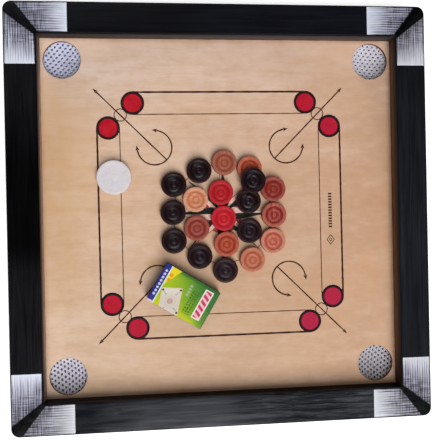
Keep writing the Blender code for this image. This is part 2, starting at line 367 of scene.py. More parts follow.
def arc(x, y, radius, start, end, steps):
    """Points on a circle's arc, both ends included; angles in degrees."""
    out = []
    for k in range(steps + 1):
        angle = math.radians(start + (end - start) * k / steps)
        out.append((x + radius * math.cos(angle), y + radius * math.sin(angle)))
    return out


def loft(form, loops, join=False):
    """Skins equal closed loops of points, joined end to end or capped."""
    rows = [[form.verts.new(point) for point in loop] for loop in loops]
    for here, there in zip(rows, rows[1:] + (rows[:1] if join else [])):
        for k in range(len(here)):
            n = (k + 1) % len(here)
            form.faces.new((here[k], here[n], there[n], there[k]))
    if not join:
        form.faces.new(rows[0][::-1])
        form.faces.new(rows[-1])
    return form


def plate(half_x, half_y, low, high, ease):
    """A flat board with eased edges all round."""
    return loft(bmesh.new(), [
        [(sx * (half_x - inset), sy * (half_y - inset), z)
         for sx, sy in ((1, 1), (-1, 1), (-1, -1), (1, -1))]
        for inset, z in ((ease, low), (0, low + ease), (0, high - ease), (ease, high))])


def bool_cut(form, tool):
    """form minus tool, all bmeshes in millimetres. Both inputs are used up."""
    pair = []
    for name, part in (("cut_body", form), ("cut_tool", tool)):
        bmesh.ops.recalc_face_normals(part, faces=part.faces)
        resize(part, MM)
        pair.append(add_object(name, raw_mesh(name, part)))
    cut = pair[0].modifiers.new("cut", "BOOLEAN")
    cut.operation = "DIFFERENCE"
    cut.solver = "EXACT"
    cut.object = pair[1]
    made = evaluated_mesh(pair[0])
    out = bmesh.new()
    out.from_mesh(made)
    resize(out, 1 / MM)
    bpy.data.meshes.remove(made)
    for obj in pair:
        mesh = obj.data
        bpy.data.objects.remove(obj, do_unlink=True)
        bpy.data.meshes.remove(mesh)
    return out


# ---- rail paint ---------------------------------------------------------------------
class RailPaint(Paint):
    """Hand-brushed gloss black with silver dry-brushed corner patches.

    The grain runs along the rail, and a painted reflection lies on the black in its brush
    streaks; the inner face is stained where the black wore thin, with painted shade on it.
    """

    PATCH_AT = 181.0               # where a silver patch begins, from the rail's middle

    def __init__(self, name, along_x, seed):
        super().__init__(name)
        x, y, self.z = self.place
        self.seed = seed
        self.along, self.across = (x, y) if along_x else (y, x)
        self.reach = abs(self.along)
        self.out = abs(self.across)
        self.brushed = self.combine(self.along, self.across, self.z)
        # fine streaks for the brush, wide ones for the wood
        self.brush = self.streaks((0.012, 1.1, 0.5), detail=4.0, rough=0.6,
                                  shift=(seed, seed * 2, 0))
        self.wide = self.streaks((0.005, 0.12, 0.2), twist=0.8, shift=(seed * 3, seed, 0))
        self.cloud = self.noise(0.02, detail=4.0, rough=0.55, twist=0.4,
                                shift=(0, seed, seed))
        self.lap = self.streaks((0.011, 0.19, 0.2), detail=5.0, rough=0.66, twist=0.9,
                                shift=(seed, seed * 4, 3))

    def streaks(self, scale, **settings):
        """Noise whose scale is along the rail, across it and up."""
        return self.noise(scale, at=self.brushed, **settings)

    def painted_reflection_along(self, marks):
        """Share of painted reflection along the rail, from (place, share) marks."""
        colour = self.make("ValToRGB", (self.along.ramp(-HALF, HALF),))
        band = colour.socket.node.color_ramp
        while len(band.elements) < len(marks):
            band.elements.new(0.5)
        for element, (place, share) in zip(band.elements, marks):
            element.position = (place + HALF) / (2 * HALF)
            element.color = (share, share, share, 1.0)
        band.interpolation = "EASE"
        return self.make("SeparateColor", (colour,))

    def between(self, start, end, ease=22.0):
        return (self.along.ease(start - ease, start)
                * self.along.ease(end + ease, end))

    def black(self, base, reflection_grey, reflection_share, patchy, settled):
        # painted reflection: a grey laid on the black in its brush streaks, its share changing
        # along the rail
        reflection_along = self.painted_reflection_along(reflection_share)
        grey = (self.brush.ramp(0.32, 0.70, 0.72, 1.0)
                * self.wide.ramp(0.30, 0.70, 0.62, 1.12)
                * self.cloud.ramp(0.3, 0.7, 0.80, 1.12)
                * self.lap.ramp(0.37, 0.63, 1.0 - patchy, 1.0 + 0.55 * patchy))
        if not settled:
            return self.mix(grey * reflection_along, base, reflection_grey)
        even = 0.66                # the grey that the calm stretch settles to
        still = 1.0 - self.between(*settled[:2]) * 0.72
        grey = (grey - even).linear(still, even)
        fleck = self.streaks((0.035, 0.75, 0.2), detail=5.0, rough=0.70, twist=1.2,
                             shift=(self.seed, 3, self.seed))
        dry = self.between(*settled[2:]) * (fleck + self.lap * 0.35).ramp(0.69, 0.86)
        grey = grey * self.out.ramp(217.0, 231.0, 0.62, 1.0)
        return self.mix((grey * reflection_along + dry * 0.75).clamped(), base, reflection_grey)

    def inner_face(self, colour, upper, lower, wall_end_shade):
        """Stain on the inner face, with painted shade along its foot and towards its ends;
        keeps the two masks that bound it.
        """
        height = self.z.ramp(21.0, 38.0)
        blotch = self.noise((0.05, 0.05, 0.12), detail=4.0, rough=0.6, twist=0.8,
                            shift=(self.seed, 4, 2))
        stain = self.layers(
            self.mix(blotch.ramp(0.35, 0.68), tint(lower, 0.55), lower),
            ((height + blotch.linear(0.5, -0.25)).ramp(0.30, 0.85), upper),
            # painted shade: a dark band along the foot of the inner face, next to the plywood
            (height.ramp(0.0, 0.16, 0.65, 0.0), (0.016, 0.010, 0.007)))
        # painted shade: the inner face darkens towards its ends
        low_share, low_reach, high_share, high_reach = wall_end_shade
        lit = (self.along.ease(-RAIL_INNER, low_reach, low_share, 1.0)
               * self.along.ease(RAIL_INNER, high_reach, high_share, 1.0))
        stain = self.mix(lit, tint(lower, 0.10), stain)
        self.inward = self.out.ramp(217.4, 217.0) * self.z.ease(39.3, 37.6)
        self.worn = (self.z + blotch * 5.0).ramp(39.5, 42.0, 1.0, 0.0)
        return self.mix(self.inward * self.worn, colour, stain)

    def patch_masks(self):
        """Silver patch, which stops short of the rail's edges and of the mitre."""
        on_top = self.facing[2].ramp(0.80, 0.9)
        band = self.out.ramp(217.8, 218.3) * self.out.ramp(252.2, 251.6)
        rag = self.streaks((0.05, 0.9, 0.2), detail=2.0, shift=(self.seed, 7, 0))
        start = (self.reach + rag * 0.8).ramp(180.6, self.PATCH_AT)
        # the black stripe over the mitre widens outwards
        half_width = self.out.ramp(RAIL_INNER, 252.0, 2.3, 8.2)
        ragged = self.noise(0.35, rough=0.6, shift=(self.seed, 1, 9))
        off = (self.out - self.reach) * 0.7071 + ragged.linear(2.4, -1.2)
        clear = off - half_width
        self.patch = on_top * band * (start * clear.ramp(-0.3, 0.6))
        over_mitre = on_top * start * clear.ramp(0.6, -0.3)
        return half_width, over_mitre

    def silver(self, half_width, silver):
        """Silver dragged out by a dry brush, darker towards the mitre."""
        seed = self.seed
        # near is 0 at the light end of the patch and 1 at the mitre stripe
        room = self.out - self.PATCH_AT - half_width * 1.414
        near = ((self.reach - self.PATCH_AT) / room.larger(8.0)).clamped()
        uneven = self.streaks((0.04, 0.10, 0.1), detail=2.0, shift=(seed, 5, 3))
        near = uneven.ramp(0.3, 0.7, -0.10, 0.10).linear(near.ramp(0.0, 0.3), near).clamped()
        fade = 2.71828 ** (near ** 1.1 * -1.70)
        # bristle marks: furrows about 3 mm apart, finer ones between, never quite straight
        sway = self.streaks((0.016, 0.03, 0.1), detail=2.0, shift=(2, seed, 8))
        furrow_at = self.out + sway * 3.4
        furrow = 0.55 - (furrow_at * 2.12).sine().linear(0.5, 0.5) ** 3.0 * 2.0
        self.hair = self.noise((0.03, 1.25, 0.3), rough=0.62, shift=(seed, 11, 5),
                               at=self.combine(self.along, furrow_at, self.z))
        streak = (furrow * self.wide.ramp(0.35, 0.6, 0.25, 0.62)
                  + self.hair.ramp(0.33, 0.67, -0.85, 0.85))
        # dry dabs across the bristle marks, only near the mitre
        waver = self.streaks((0.05, 0.03, 0.1), detail=2.0, shift=(seed, 2, 2))
        dab_at = self.combine(self.along + waver * 2.6, self.across, self.z)
        dab = self.noise((0.95, 0.05, 0.2), detail=2.0, rough=0.6, shift=(1, seed, 8),
                         at=dab_at).ramp(0.32, 0.68, -1.0, 1.0)
        streak = streak + dab * near.ramp(0.35, 0.75, 0.0, 0.70)
        lift = (1.0 + streak * near.ramp(0.0, 0.70, 0.07, 1.28)).larger(0.06)
        soft = self.noise(0.03, detail=2.0, shift=(seed, 0, 0))
        tone = fade * lift * soft.ramp(0.35, 0.65, 0.94, 1.06)
        warmed = tuple(a * b for a, b in zip(silver, (0.98, 0.93, 1.05)))
        warm = self.mix(near.ramp(0.0, 0.8), silver, warmed)
        scaled = self.make("VectorMath", {0: warm, "Scale": tone}, operation="SCALE")
        return self.vector("ADD", scaled, (0.006, 0.006, 0.010))


def rail_paint(name, along_x, seed, base, reflection_grey, silver, reflection_share, upper, lower, wall_end_shade,
               shine, patchy, settled=None):
    """base is the black, and the second tone a grey painted reflection on it; upper and lower
    are the inner face's stains, set lighter or darker on each rail as painted light and shade.

    The shares list (place along the rail, share of the painted reflection) for its changes
    along the rail.
    The wall ends give how dark painted shade makes the inner face at its negative end and how
    far that reaches, then the same for its positive end. patchy is how unevenly the gloss
    lies.
    settled gives four places along the rail: the coat lies calm from the first to the
    second, and from the third to the fourth dry flecks stand in it.
    """
    mat = RailPaint(name, along_x, seed)
    colour = mat.black(base, reflection_grey, reflection_share, patchy, settled)
    colour = mat.inner_face(colour, upper, lower, wall_end_shade)
    # underside and rebate: bare grey-brown wood
    bare = mat.facing[2].ramp(-0.55, -0.75) * 1.0
    wood = mat.mix(mat.brush.ramp(0.3, 0.7), (0.16, 0.10, 0.06), (0.30, 0.20, 0.12))
    half_width, over_mitre = mat.patch_masks()
    colour = mat.layers(colour, (bare, wood), (mat.patch, mat.silver(half_width, silver)),
                        (over_mitre * 0.90, tint(base, 0.8, most=0.0022)))
    # lacquer with fine scratches, silver drier
    scratch = mat.streaks((0.02, 3.2, 1.0), detail=2.0, rough=0.7, shift=(4, seed, 1))
    rough = (mat.brush.ramp(0.3, 0.7, 0.30, 0.42) + scratch.ramp(0.55, 0.75, 0.0, 0.10)
             + mat.inward * mat.worn * 0.25 + mat.patch * 0.20 + bare * 0.35).clamped()
    relief = mat.brush * 0.45 + scratch * 0.15 + mat.patch * mat.hair * 0.5
    normal = mat.bump(relief, depth=0.07, strength=0.40)
    sheen = 1.0 - mat.inward * mat.worn * 0.6
    uneven = mat.lap.ramp(0.38, 0.62, 1.0 - patchy, 1.0 + 0.4 * patchy)
    sheen = sheen * (uneven * (1.0 - mat.patch) + mat.patch)
    return mat.finish(
        Base_Color=colour, Roughness=rough,
        Normal=mat.bump(mat.cloud, depth=0.4, strength=0.25, Normal=normal),
        Metallic=mat.patch * 0.10, Coat_Weight=sheen * 0.10, Coat_Roughness=0.20,
        Specular_IOR_Level=sheen * shine)


# ---- plywood and ink ----------------------------------------------------------------
def veneer_figure(mat, bands, lines, pores):
    """Bands and pores along X, with soft cloudy flecks, lighter and darker."""
    x, y, _ = mat.place
    fleck = mat.noise((0.013, 0.055, 0.03), detail=5.0, rough=0.60, twist=0.35,
                      shift=(1.7, 4.4, 0))
    flake = mat.noise((0.045, 0.20, 0.05), rough=0.6, twist=0.3, shift=(6.1, 0.4, 0))
    mottle = mat.noise((0.060, 0.100, 0.1), detail=4.0, rough=0.58, twist=0.2,
                       shift=(3.3, 7.7, 0))
    # the sheet is paler and greyer towards the back left, browner to the right
    across = (x + y * -0.25).ramp(-190.0, 200.0)
    return mat.layers(
        mat.mix(bands.ramp(0.33, 0.68), (0.640, 0.462, 0.352), (0.585, 0.396, 0.276)),
        (across * 0.80, (0.520, 0.330, 0.220)),
        (lines.ramp(0.42, 0.72, 0.0, 0.32), (0.500, 0.320, 0.210)),
        (pores.ramp(0.60, 0.78, 0.0, 0.40), (0.380, 0.225, 0.130)),
        (fleck.ramp(0.50, 0.72, 0.0, 0.55), (0.490, 0.300, 0.185)),
        (fleck.ramp(0.47, 0.28, 0.0, 0.42), (0.670, 0.500, 0.390)),
        (flake.ramp(0.54, 0.72, 0.0, 0.34), (0.480, 0.290, 0.180)),
        (mottle.ramp(0.48, 0.72, 0.0, 0.42), (0.470, 0.285, 0.170)),
        (mottle.ramp(0.46, 0.30, 0.0, 0.16), (0.700, 0.530, 0.410)))


def veneer_stains(mat, colour):
    x, y, _ = mat.place
    warm = mat.noise((0.0065, 0.0075, 0.01), rough=0.55, twist=0.5, shift=(3.1, 8.2, 0))
    # warm orange patches, stronger near the back corners and the left and right sides
    corner = abs(x).ease(90.0, 215.0, 0.0, 1.0) * y.ease(-160.0, 215.0, 0.35, 1.0)
    patches = warm.ramp(0.42, 0.66) * corner.ramp(0.0, 1.0, 0.22, 0.85)
    # a long brown stain along the left rail, and an orange-brown painted shadow of the carton
    # left of the middle front
    left = x.ease(-140.0, -200.0) * abs(y - 10.0).ease(170.0, 60.0)
    blur = mat.noise((0.02, 0.012, 0.02), detail=4.0, rough=0.6, twist=0.9,
                     shift=(2, 7, 0))
    # painted shadow of the carton, cast to its upper left
    carton_shadow = (abs((x + 82.0) * 0.055) ** 2.0 + abs((y + 58.0) * 0.095) ** 2.0).sqrt()
    return mat.layers(
        colour,
        (patches, (0.580, 0.335, 0.175)),
        (left * blur.ramp(0.35, 0.65, 0.32, 0.72), (0.530, 0.310, 0.140)),
        (carton_shadow.ease(1.0, 0.25) * blur.ramp(0.3, 0.6, 0.25, 0.62), (0.400, 0.235, 0.095)))


def veneer_painted_shade(mat, colour):
    """Painted shade along the rails, a wide band and a narrow one, and a darker ring round
    each pocket.
    """
    x, y, _ = mat.place
    edge = abs(x).larger(abs(y))
    cloud = mat.noise(0.03, rough=0.6, twist=0.3, shift=(9, 1, 0))
    # painted shade: a wide soft band and a narrow dark one along the rails, weaker at the left
    # and right sides
    shade = (edge.ease(176.0, 216.0) * cloud.ramp(0.3, 0.7, 0.10, 0.42)
             * x.ramp(-190.0, -120.0, 0.45, 1.0) * x.ramp(190.0, 150.0, 0.35, 1.0))
    narrow_shade = (edge.ease(210.0, 216.5) * cloud.ramp(0.3, 0.7, 0.45, 1.0)
             * x.ramp(209.0, 200.0, 0.25, 1.0) * x.ramp(-209.0, -200.0, 0.6, 1.0))
    lip = length(abs(x) - POCKET_AT, abs(y) - POCKET_AT).ease(23.5, 22.4)
    return mat.layers(colour, (shade, (0.430, 0.245, 0.140)),
                      (narrow_shade * 0.60, (0.26, 0.115, 0.050)),
                      (lip * 0.42, (0.42, 0.22, 0.13)))


def veneer_yellowing(mat, colour):
    """Uneven lacquer: palest and greyest at the back, browner at the front right."""
    x, y, _ = mat.place
    right, up = x * 0.005, y * 0.005
    back = up.larger(0.0)
    back = back * back
    # for red, green and blue: level, change to the right, change up, change at the back
    channels = [(1.005, -0.040, 0.030, 0.069),
                (0.980, -0.079, -0.005, 0.200),
                (0.950, -0.105, -0.030, 0.385)]
    return mat.vector("MULTIPLY", colour, mat.combine(*(
        back.linear(by_back, up.linear(by_up, right.linear(by_right, level)))
        for level, by_right, by_up, by_back in channels)))


def plywood():
    """Pale lacquered veneer, grain along X; brown layers show in the pocket walls."""
    mat = Paint("ply_veneer")
    x, y, z = mat.place
    warp = mat.noise((0.004, 0.012, 0.01), detail=2.0)
    bent = mat.combine(x, y + warp * 46.0, z)
    bands = mat.noise((0.0022, 0.055, 0.05), detail=4.0, rough=0.55, at=bent)
    lines = mat.noise((0.010, 0.55, 0.5), rough=0.6, at=bent)
    pores = mat.noise((0.06, 2.4, 1.0), detail=2.0, rough=0.65, at=bent)
    colour = veneer_figure(mat, bands, lines, pores)
    colour = veneer_painted_shade(mat, veneer_stains(mat, colour))
    # powder rubbed into the lacquer towards the middle
    powder = mat.noise((0.014, 0.010, 0.01), detail=4.0, rough=0.55, twist=0.4,
                       shift=(5, 5, 0))
    powder = powder.ramp(0.48, 0.72) * mat.from_axis().ramp(60.0, 190.0, 1.0, 0.25)
    colour = mat.mix(powder * 0.26, colour, (0.74, 0.61, 0.53))
    colour = veneer_yellowing(mat, colour)
    # layers in the walls
    layer = ((z - PLY_LOW) * 4.712).sine()
    fuzz = mat.noise((0.9, 0.9, 2.2), rough=0.6)
    plies = mat.layers(
        mat.mix(layer.ramp(-0.3, 0.3), (0.115, 0.052, 0.024), (0.30, 0.155, 0.072)),
        (fuzz.ramp(0.35, 0.7, 0.0, 0.6), (0.07, 0.032, 0.016)))
    wall = abs(mat.facing[2]).ramp(0.75, 0.45)
    # underside is an unlacquered back veneer
    below = mat.facing[2].ramp(-0.6, -0.8)
    raw = mat.mix(bands.ramp(0.35, 0.7), (0.40, 0.27, 0.17), (0.30, 0.18, 0.10))
    smear = mat.noise((0.02, 0.05, 0.02), detail=4.0, rough=0.6, twist=0.8)
    rough = smear.ramp(0.3, 0.7, 0.38, 0.54) + powder * 0.18 + wall.larger(below) * 0.35
    return mat.finish(
        Base_Color=mat.layers(colour, (wall, plies), (below, raw)),
        Roughness=rough.clamped(),
        Normal=mat.bump(lines * 0.6 + pores * 0.4, depth=0.06, strength=0.35),
        Specular_IOR_Level=0.28)


def ink(name, colour, worn, seed, rough=0.42, front_right=None):
    """Screen ink: it follows the veneer's grain and is worn in places. front_right is its
    colour in that corner when the coat is thinner there."""
    mat = Paint(name)
    grain = mat.noise((0.03, 1.4, 1.0), rough=0.65, shift=(seed, 0, 0))
    blot = mat.noise(0.10, detail=4.0, rough=0.6, twist=0.4, shift=(0, seed, 0))
    wood = mat.mix(grain.ramp(0.3, 0.7), (0.52, 0.35, 0.22), (0.64, 0.45, 0.31))
    tone = mat.mix(blot.ramp(0.3, 0.7), colour, tint(colour, 1.35, 0.004))
    if front_right is not None:
        x, y, _ = mat.place
        tone = mat.mix((x - y).ramp(-120.0, 200.0), tone, front_right)
    rubbed = grain.ramp(0.54, 0.74) * blot.ramp(0.50, 0.68)
    return mat.finish(
        Base_Color=mat.mix(rubbed * worn, tone, wood),
        Roughness=blot.ramp(0.3, 0.7, rough - 0.08, rough + 0.10),
        Normal=mat.bump(grain, depth=0.03, strength=0.3), Specular_IOR_Level=0.18)


# ---- materials of the loose pieces and the underside --------------------------------
def turned_wood(name, rim_colour, ring_colour, deep, seed, gloss, streaks, coat, shine):
    """A stained and lacquered man. rim_colour is the worn outer rim, ring_colour the raised
    ring and button, and deep the stain gathered in the grooves with painted shade over it,
    also used for the dark grain and the darker side."""
    mat = Paint(name)
    x, y, z = mat.place
    angle = math.radians(37.0 * seed)
    at = mat.combine(x * math.cos(angle) + y * math.sin(angle),
                     y * math.cos(angle) - x * math.sin(angle), z)
    grain = mat.noise((0.06, 0.50, 0.25), detail=4.0, rough=0.6, twist=0.9,
                      shift=(seed, seed * 2, 0), at=at)
    fine = mat.noise((0.25, 3.2, 1.0), detail=2.0, rough=0.6, twist=0.2,
                     shift=(seed, 0, 5), at=at)
    speck = mat.noise((0.55, 0.9, 0.9), rough=0.65, twist=0.3, shift=(0, seed, 9), at=at)
    patch = mat.noise((0.10, 0.13, 0.1), rough=0.55, twist=0.4, shift=(seed, 2, 4), at=at)
    radius = mat.from_axis()
    turning = mat.noise((0.02, 0.02, 2.6), rough=0.6, shift=(seed, 3, 0),
                        at=mat.combine(x * 0.2, y * 0.2, radius))
    nick = mat.noise((0.35, 0.35, 0.5), detail=4.0, rough=0.6, twist=0.2,
                     shift=(seed, 1, 1))
    wavy = radius + patch.linear(1.8, -0.9)
    # depth of the cut: stain with painted shade over it gathers low, and a little on the
    # slopes
    groove = z.ease(7.02, 7.78, 1.0, 0.0)
    top = mat.facing[2].ramp(0.3, 0.6) * radius.ramp(14.1, 13.0)
    cut = groove * top * radius.ramp(5.8, 7.2, 0.70, 1.0)
    light = tint(rim_colour, 1.38, 0.014)
    # the edge that strikes the others is rubbed; the side below it is painted darker
    side = z.ramp(7.3, 6.2)
    rim = radius.ramp(14.1, 15.2) * z.ramp(6.2, 7.4)
    colour = mat.layers(
        mat.mix(wavy.ease(8.6, 12.0), ring_colour, rim_colour),
        (cut * patch.ramp(0.3, 0.7, 0.80, 1.0), deep),
        (grain.ramp(0.50, 0.72, 0.0, 0.50 * streaks) * groove.ramp(0.0, 1.0, 1.0, 0.3),
         light),
        (grain.ramp(0.46, 0.28, 0.0, 0.42 * streaks), deep),
        (fine.ramp(0.54, 0.75, 0.0, 0.40 * streaks), deep),
        (speck.ramp(0.60, 0.72, 0.0, 0.30 * streaks), deep),
        (turning.ramp(0.56, 0.75, 0.0, 0.25 * streaks), deep),
        (side * 0.45, deep),
        (rim * nick.ramp(0.48, 0.66, 0.0, 0.55), light))
    rough = speck.ramp(0.3, 0.7, gloss - 0.06, gloss + 0.10) + rim * 0.06
    return mat.finish(
        Base_Color=colour, Roughness=rough.clamped(),
        Normal=mat.bump(turning * 0.6 + fine * 0.4, depth=0.06, strength=0.35),
        Coat_Weight=coat, Coat_Roughness=0.25, Specular_IOR_Level=shine)


def moulded_white():
    mat = Paint("striker_moulded")
    cloud = mat.noise(0.06, detail=4.0, rough=0.55, twist=0.4)
    smut = mat.noise((0.22, 0.22, 0.3), detail=4.0, rough=0.65, twist=0.5,
                     shift=(4, 2, 0))
    colour = mat.layers(
        mat.mix(cloud.ramp(0.3, 0.7), (0.597, 0.567, 0.606), (0.644, 0.606, 0.634)),
        (mat.from_axis().ease(15.4, 20.4, 0.0, 0.45), (0.640, 0.570, 0.550)),
        (smut.ramp(0.62, 0.76, 0.0, 0.25), (0.45, 0.38, 0.36)))
    scuff = mat.noise((0.5, 0.05, 0.1), rough=0.6, twist=0.3)
    return mat.finish(
        Base_Color=colour,
        Roughness=cloud.ramp(0.3, 0.7, 0.24, 0.36) + scuff.ramp(0.56, 0.7, 0.0, 0.14),
        Normal=mat.bump(scuff, depth=0.006, strength=0.4), Subsurface_Weight=0.15,
        Subsurface_Radius=(0.004, 0.003, 0.003), Coat_Weight=0.1)


def knit(name, light, shade, seed):
    """Warp-knit polyester yarn: fine rows of loops and a little grey dirt."""
    mat = Paint(name)
    x, y, _ = mat.place
    rows = ((x * 0.8 + y * 0.6) * 9.5).sine()
    columns = ((y * 0.8 - x * 0.6) * 7.5).sine()
    loops = rows.linear(0.5, 0.5) * columns.linear(0.5, 0.5)
    fibre = mat.noise(2.6, rough=0.65, shift=(seed, 0, 0))
    dirt = mat.noise(0.07, detail=4.0, rough=0.6, twist=0.3, shift=(0, seed, 0))
    colour = mat.layers(mat.mix(loops.ramp(0.0, 0.7), shade, light),
                        (fibre.ramp(0.45, 0.7, 0.0, 0.5), shade),
                        (dirt.ramp(0.48, 0.70, 0.0, 0.45), tint(shade, 0.55)))
    return mat.finish(
        Base_Color=colour, Roughness=0.78,
        Normal=mat.bump(loops * 0.7 + fibre * 0.5, depth=0.18, strength=0.8),
        Sheen_Weight=0.35, Sheen_Roughness=0.4)


def raw_wood(name, along_x):
    mat = Paint(name)
    x, y, z = mat.place
    along, across = (x, y) if along_x else (y, x)
    at = mat.combine(along, across, z)
    rings = mat.noise((0.008, 0.16, 0.16), detail=4.0, rough=0.6, twist=1.2, at=at)
    pores = mat.noise((0.09, 2.2, 2.0), detail=2.0, rough=0.6, at=at)
    saw = ((along + rings * 6.0) * 2.4).sine()
    stain = mat.noise(0.012, detail=4.0, rough=0.6, twist=0.5, shift=(2, 2, 2))
    colour = mat.layers(
        mat.mix(rings.ramp(0.32, 0.68), (0.50, 0.33, 0.19), (0.33, 0.19, 0.10)),
        (pores.ramp(0.55, 0.75, 0.0, 0.7), (0.20, 0.11, 0.06)),
        (stain.ramp(0.5, 0.7, 0.0, 0.4), (0.17, 0.11, 0.08)))
    return mat.finish(
        Base_Color=colour, Roughness=pores.ramp(0.3, 0.7, 0.62, 0.82),
        Normal=mat.bump(pores * 0.6 + saw * 0.12, depth=0.2, strength=0.6))


def zinc():
    """Zinc plate with a cellular spangle and spots of rust."""
    mat = Paint("zinc_plated")
    cells = mat.vector("MULTIPLY", mat.point, (1.1, 1.1, 1.1))
    spangle = mat.make("TexVoronoi", {"Vector": cells}, output="Distance")
    cloud = mat.noise(0.8, rough=0.6)
    rust = mat.noise(0.35, detail=5.0, rough=0.65, twist=0.4, shift=(7, 0, 0))
    spots = rust.ramp(0.60, 0.70)
    colour = mat.layers(
        mat.mix(spangle.ramp(0.0, 0.8), (0.62, 0.62, 0.63), (0.44, 0.44, 0.46)),
        (spots * 0.7, (0.21, 0.085, 0.03)))
    return mat.finish(
        Base_Color=colour,
        Roughness=(cloud.ramp(0.3, 0.7, 0.28, 0.44) + spots * 0.3).clamped(),
        Normal=mat.bump(cloud, depth=0.05, strength=0.4), Metallic=1.0 - spots * 0.7)


# ---- printed card: x runs along the carton, y across it and z up --------------------
def repeated(value, pitch):
    """Distance from the middle of each step of a repeat."""
    return (value + 100.0) % pitch - pitch / 2


def card_green(mat, wash):
    """Green wash: yellow-green at low y and in the middle, dark at +X and the +Y edge."""
    x, y, _ = mat.place
    slide = x * 0.017 + y * 0.013 + wash.linear(0.5, -0.25)
    low = ((y + x * 0.10).ease(-12.0, -23.0, 0.0, 0.85)
           * x.ease(34.0, 20.0, 0.25, 1.0))
    # a block of rows of small dark dashes
    dash = ((y + wash * 9.0) * 1.9).sine()
    row = ((x - 9.9) * 0.95).sine()
    block = abs(x - 11.4).ramp(4.8, 4.0) * abs(y + 2.4).ramp(15.2, 14.4)
    dashes = dash.ramp(-0.6, 0.1) * abs(row).ramp(0.30, 0.60) * block
    # a short row of grey blots
    blot = length((x - 2.9) * 0.85, repeated(y, 3.9))
    blots = blot.ramp(1.9, 1.3) * abs(y - 9.6).ramp(8.2, 7.8)
    return mat.layers(
        mat.mix(slide.ramp(-0.30, 0.22), (0.32, 0.44, 0.012), (0.13, 0.30, 0.016)),
        (slide.ramp(0.16, 0.60), (0.035, 0.150, 0.032)),
        (low, (0.46, 0.50, 0.012)),
        (y.ease(19.5, 24.5, 0.0, 0.75), (0.020, 0.105, 0.022)),
        (dashes * 0.85, (0.040, 0.115, 0.010)),
        (blots * 0.55, (0.40, 0.46, 0.40)))


def card_picture(mat, wash):
    """Picture of a small board, a little skewed. Returns its mask and its colour."""
    x, y, _ = mat.place
    middle_x, middle_y = -11.15, -13.15
    from_x = x - middle_x
    from_y = y - middle_y
    # across and up are the picture's own directions
    across = from_x * 0.961 + from_y * 0.318
    up = from_y * 0.903 - from_x * 0.449
    box = abs(across).larger(abs(up) - 4.0)
    frame_line = box.ramp(10.9, 11.3) * box.ramp(12.4, 12.0)
    spot = length(abs(across) - 10.6, abs(up) - 13.6)
    # dots in the middle and in a ring round it
    hub = length(across, up)
    cells = mat.combine(across * 0.55, up * 0.55, 0.0)
    dots = mat.make("TexVoronoi", {"Vector": cells}, output="Distance").ramp(0.40, 0.26)
    near = hub.ramp(3.9, 3.3)
    far = hub.ramp(5.2, 5.7) * hub.ramp(7.2, 6.7)
    # a broken slanting tick towards each corner
    tick_x = abs(across) - 7.2
    tick_y = abs(up) - 9.4
    slant = abs(tick_x - tick_y)
    span = abs(tick_x + tick_y)
    broken = ((tick_x + tick_y) * 1.9).sine()
    tick = slant.ramp(1.1, 0.7) * span.ramp(4.4, 4.0) * broken.ramp(-0.7, 0.0)
    colour = mat.layers(
        mat.mix(wash.ramp(0.3, 0.7), (0.60, 0.50, 0.43), (0.52, 0.50, 0.44)),
        (up.ramp(4.0, 14.0, 0.0, 0.6), (0.64, 0.66, 0.56)),
        (frame_line * 0.75, (0.74, 0.47, 0.36)),
        (spot.ramp(1.6, 1.1), (0.045, 0.012, 0.016)),
        (near * 0.45, (0.42, 0.17, 0.15)),
        (dots * near.larger(far * 0.6) * 0.85, (0.20, 0.030, 0.040)),
        (tick * 0.65, (0.16, 0.07, 0.08)))
    return box.ramp(12.4, 12.0), colour


def card_band(mat, colour):
    """Band near the +X end: slanting red and pink bars inside a pale border."""
    x, y, _ = mat.place
    bar = (abs(x - 25.2) - 3.9).larger(abs(y - 1.7) - 17.4)
    slash = ((y + x * 0.45) * 0.90).sine()
    bars = mat.mix(slash.ramp(-0.35, 0.25), (0.70, 0.42, 0.44), (0.50, 0.030, 0.105))
    return mat.layers(colour, (bar.ramp(1.75, 1.45), (0.74, 0.66, 0.56)),
                      (bar.ramp(0.15, -0.10), bars))


def card_corner(mat, wash, colour):
    """Yellow corner between the strip, the +Y edge and a slanting line, with two spots."""
    x, y, _ = mat.place
    start_x, edge_y = -27.0, 25.0
    slope = (x - start_x) + (edge_y - y) * 0.5
    sun = mat.mix(wash.ramp(0.35, 0.65), (0.76, 0.57, 0.010), (0.70, 0.60, 0.02))
    for spot_y in (14.6, 8.2):
        spot = length(x + 24.8, y - spot_y).ramp(2.5, 1.9)
        sun = mat.mix(spot * 0.85, sun, (0.72, 0.20, 0.008))
    return mat.mix(slope.ramp(11.6, 11.2) * y.ramp(0.2, 1.0), colour, sun)


def card_strip(mat, wash, colour):
    """White line and blue strip with a row of dots, at the -X end."""
    x, y, _ = mat.place
    dot = length(x + 32.4, repeated(y, 4.4))
    row = dot.ramp(1.75, 1.30) * abs(y - 0.6).ramp(17.8, 17.4)
    blue = mat.layers(
        mat.mix(wash.ramp(0.35, 0.65), (0.018, 0.028, 0.190), (0.030, 0.028, 0.225)),
        (row * 0.85, (0.62, 0.64, 0.72)),
        (y.ramp(-22.4, -23.0), (0.66, 0.50, 0.58)))
    return mat.layers(colour, (x.ramp(-27.6, -27.9), (0.66, 0.68, 0.66)),
                      (x.ramp(-29.0, -29.3), blue))


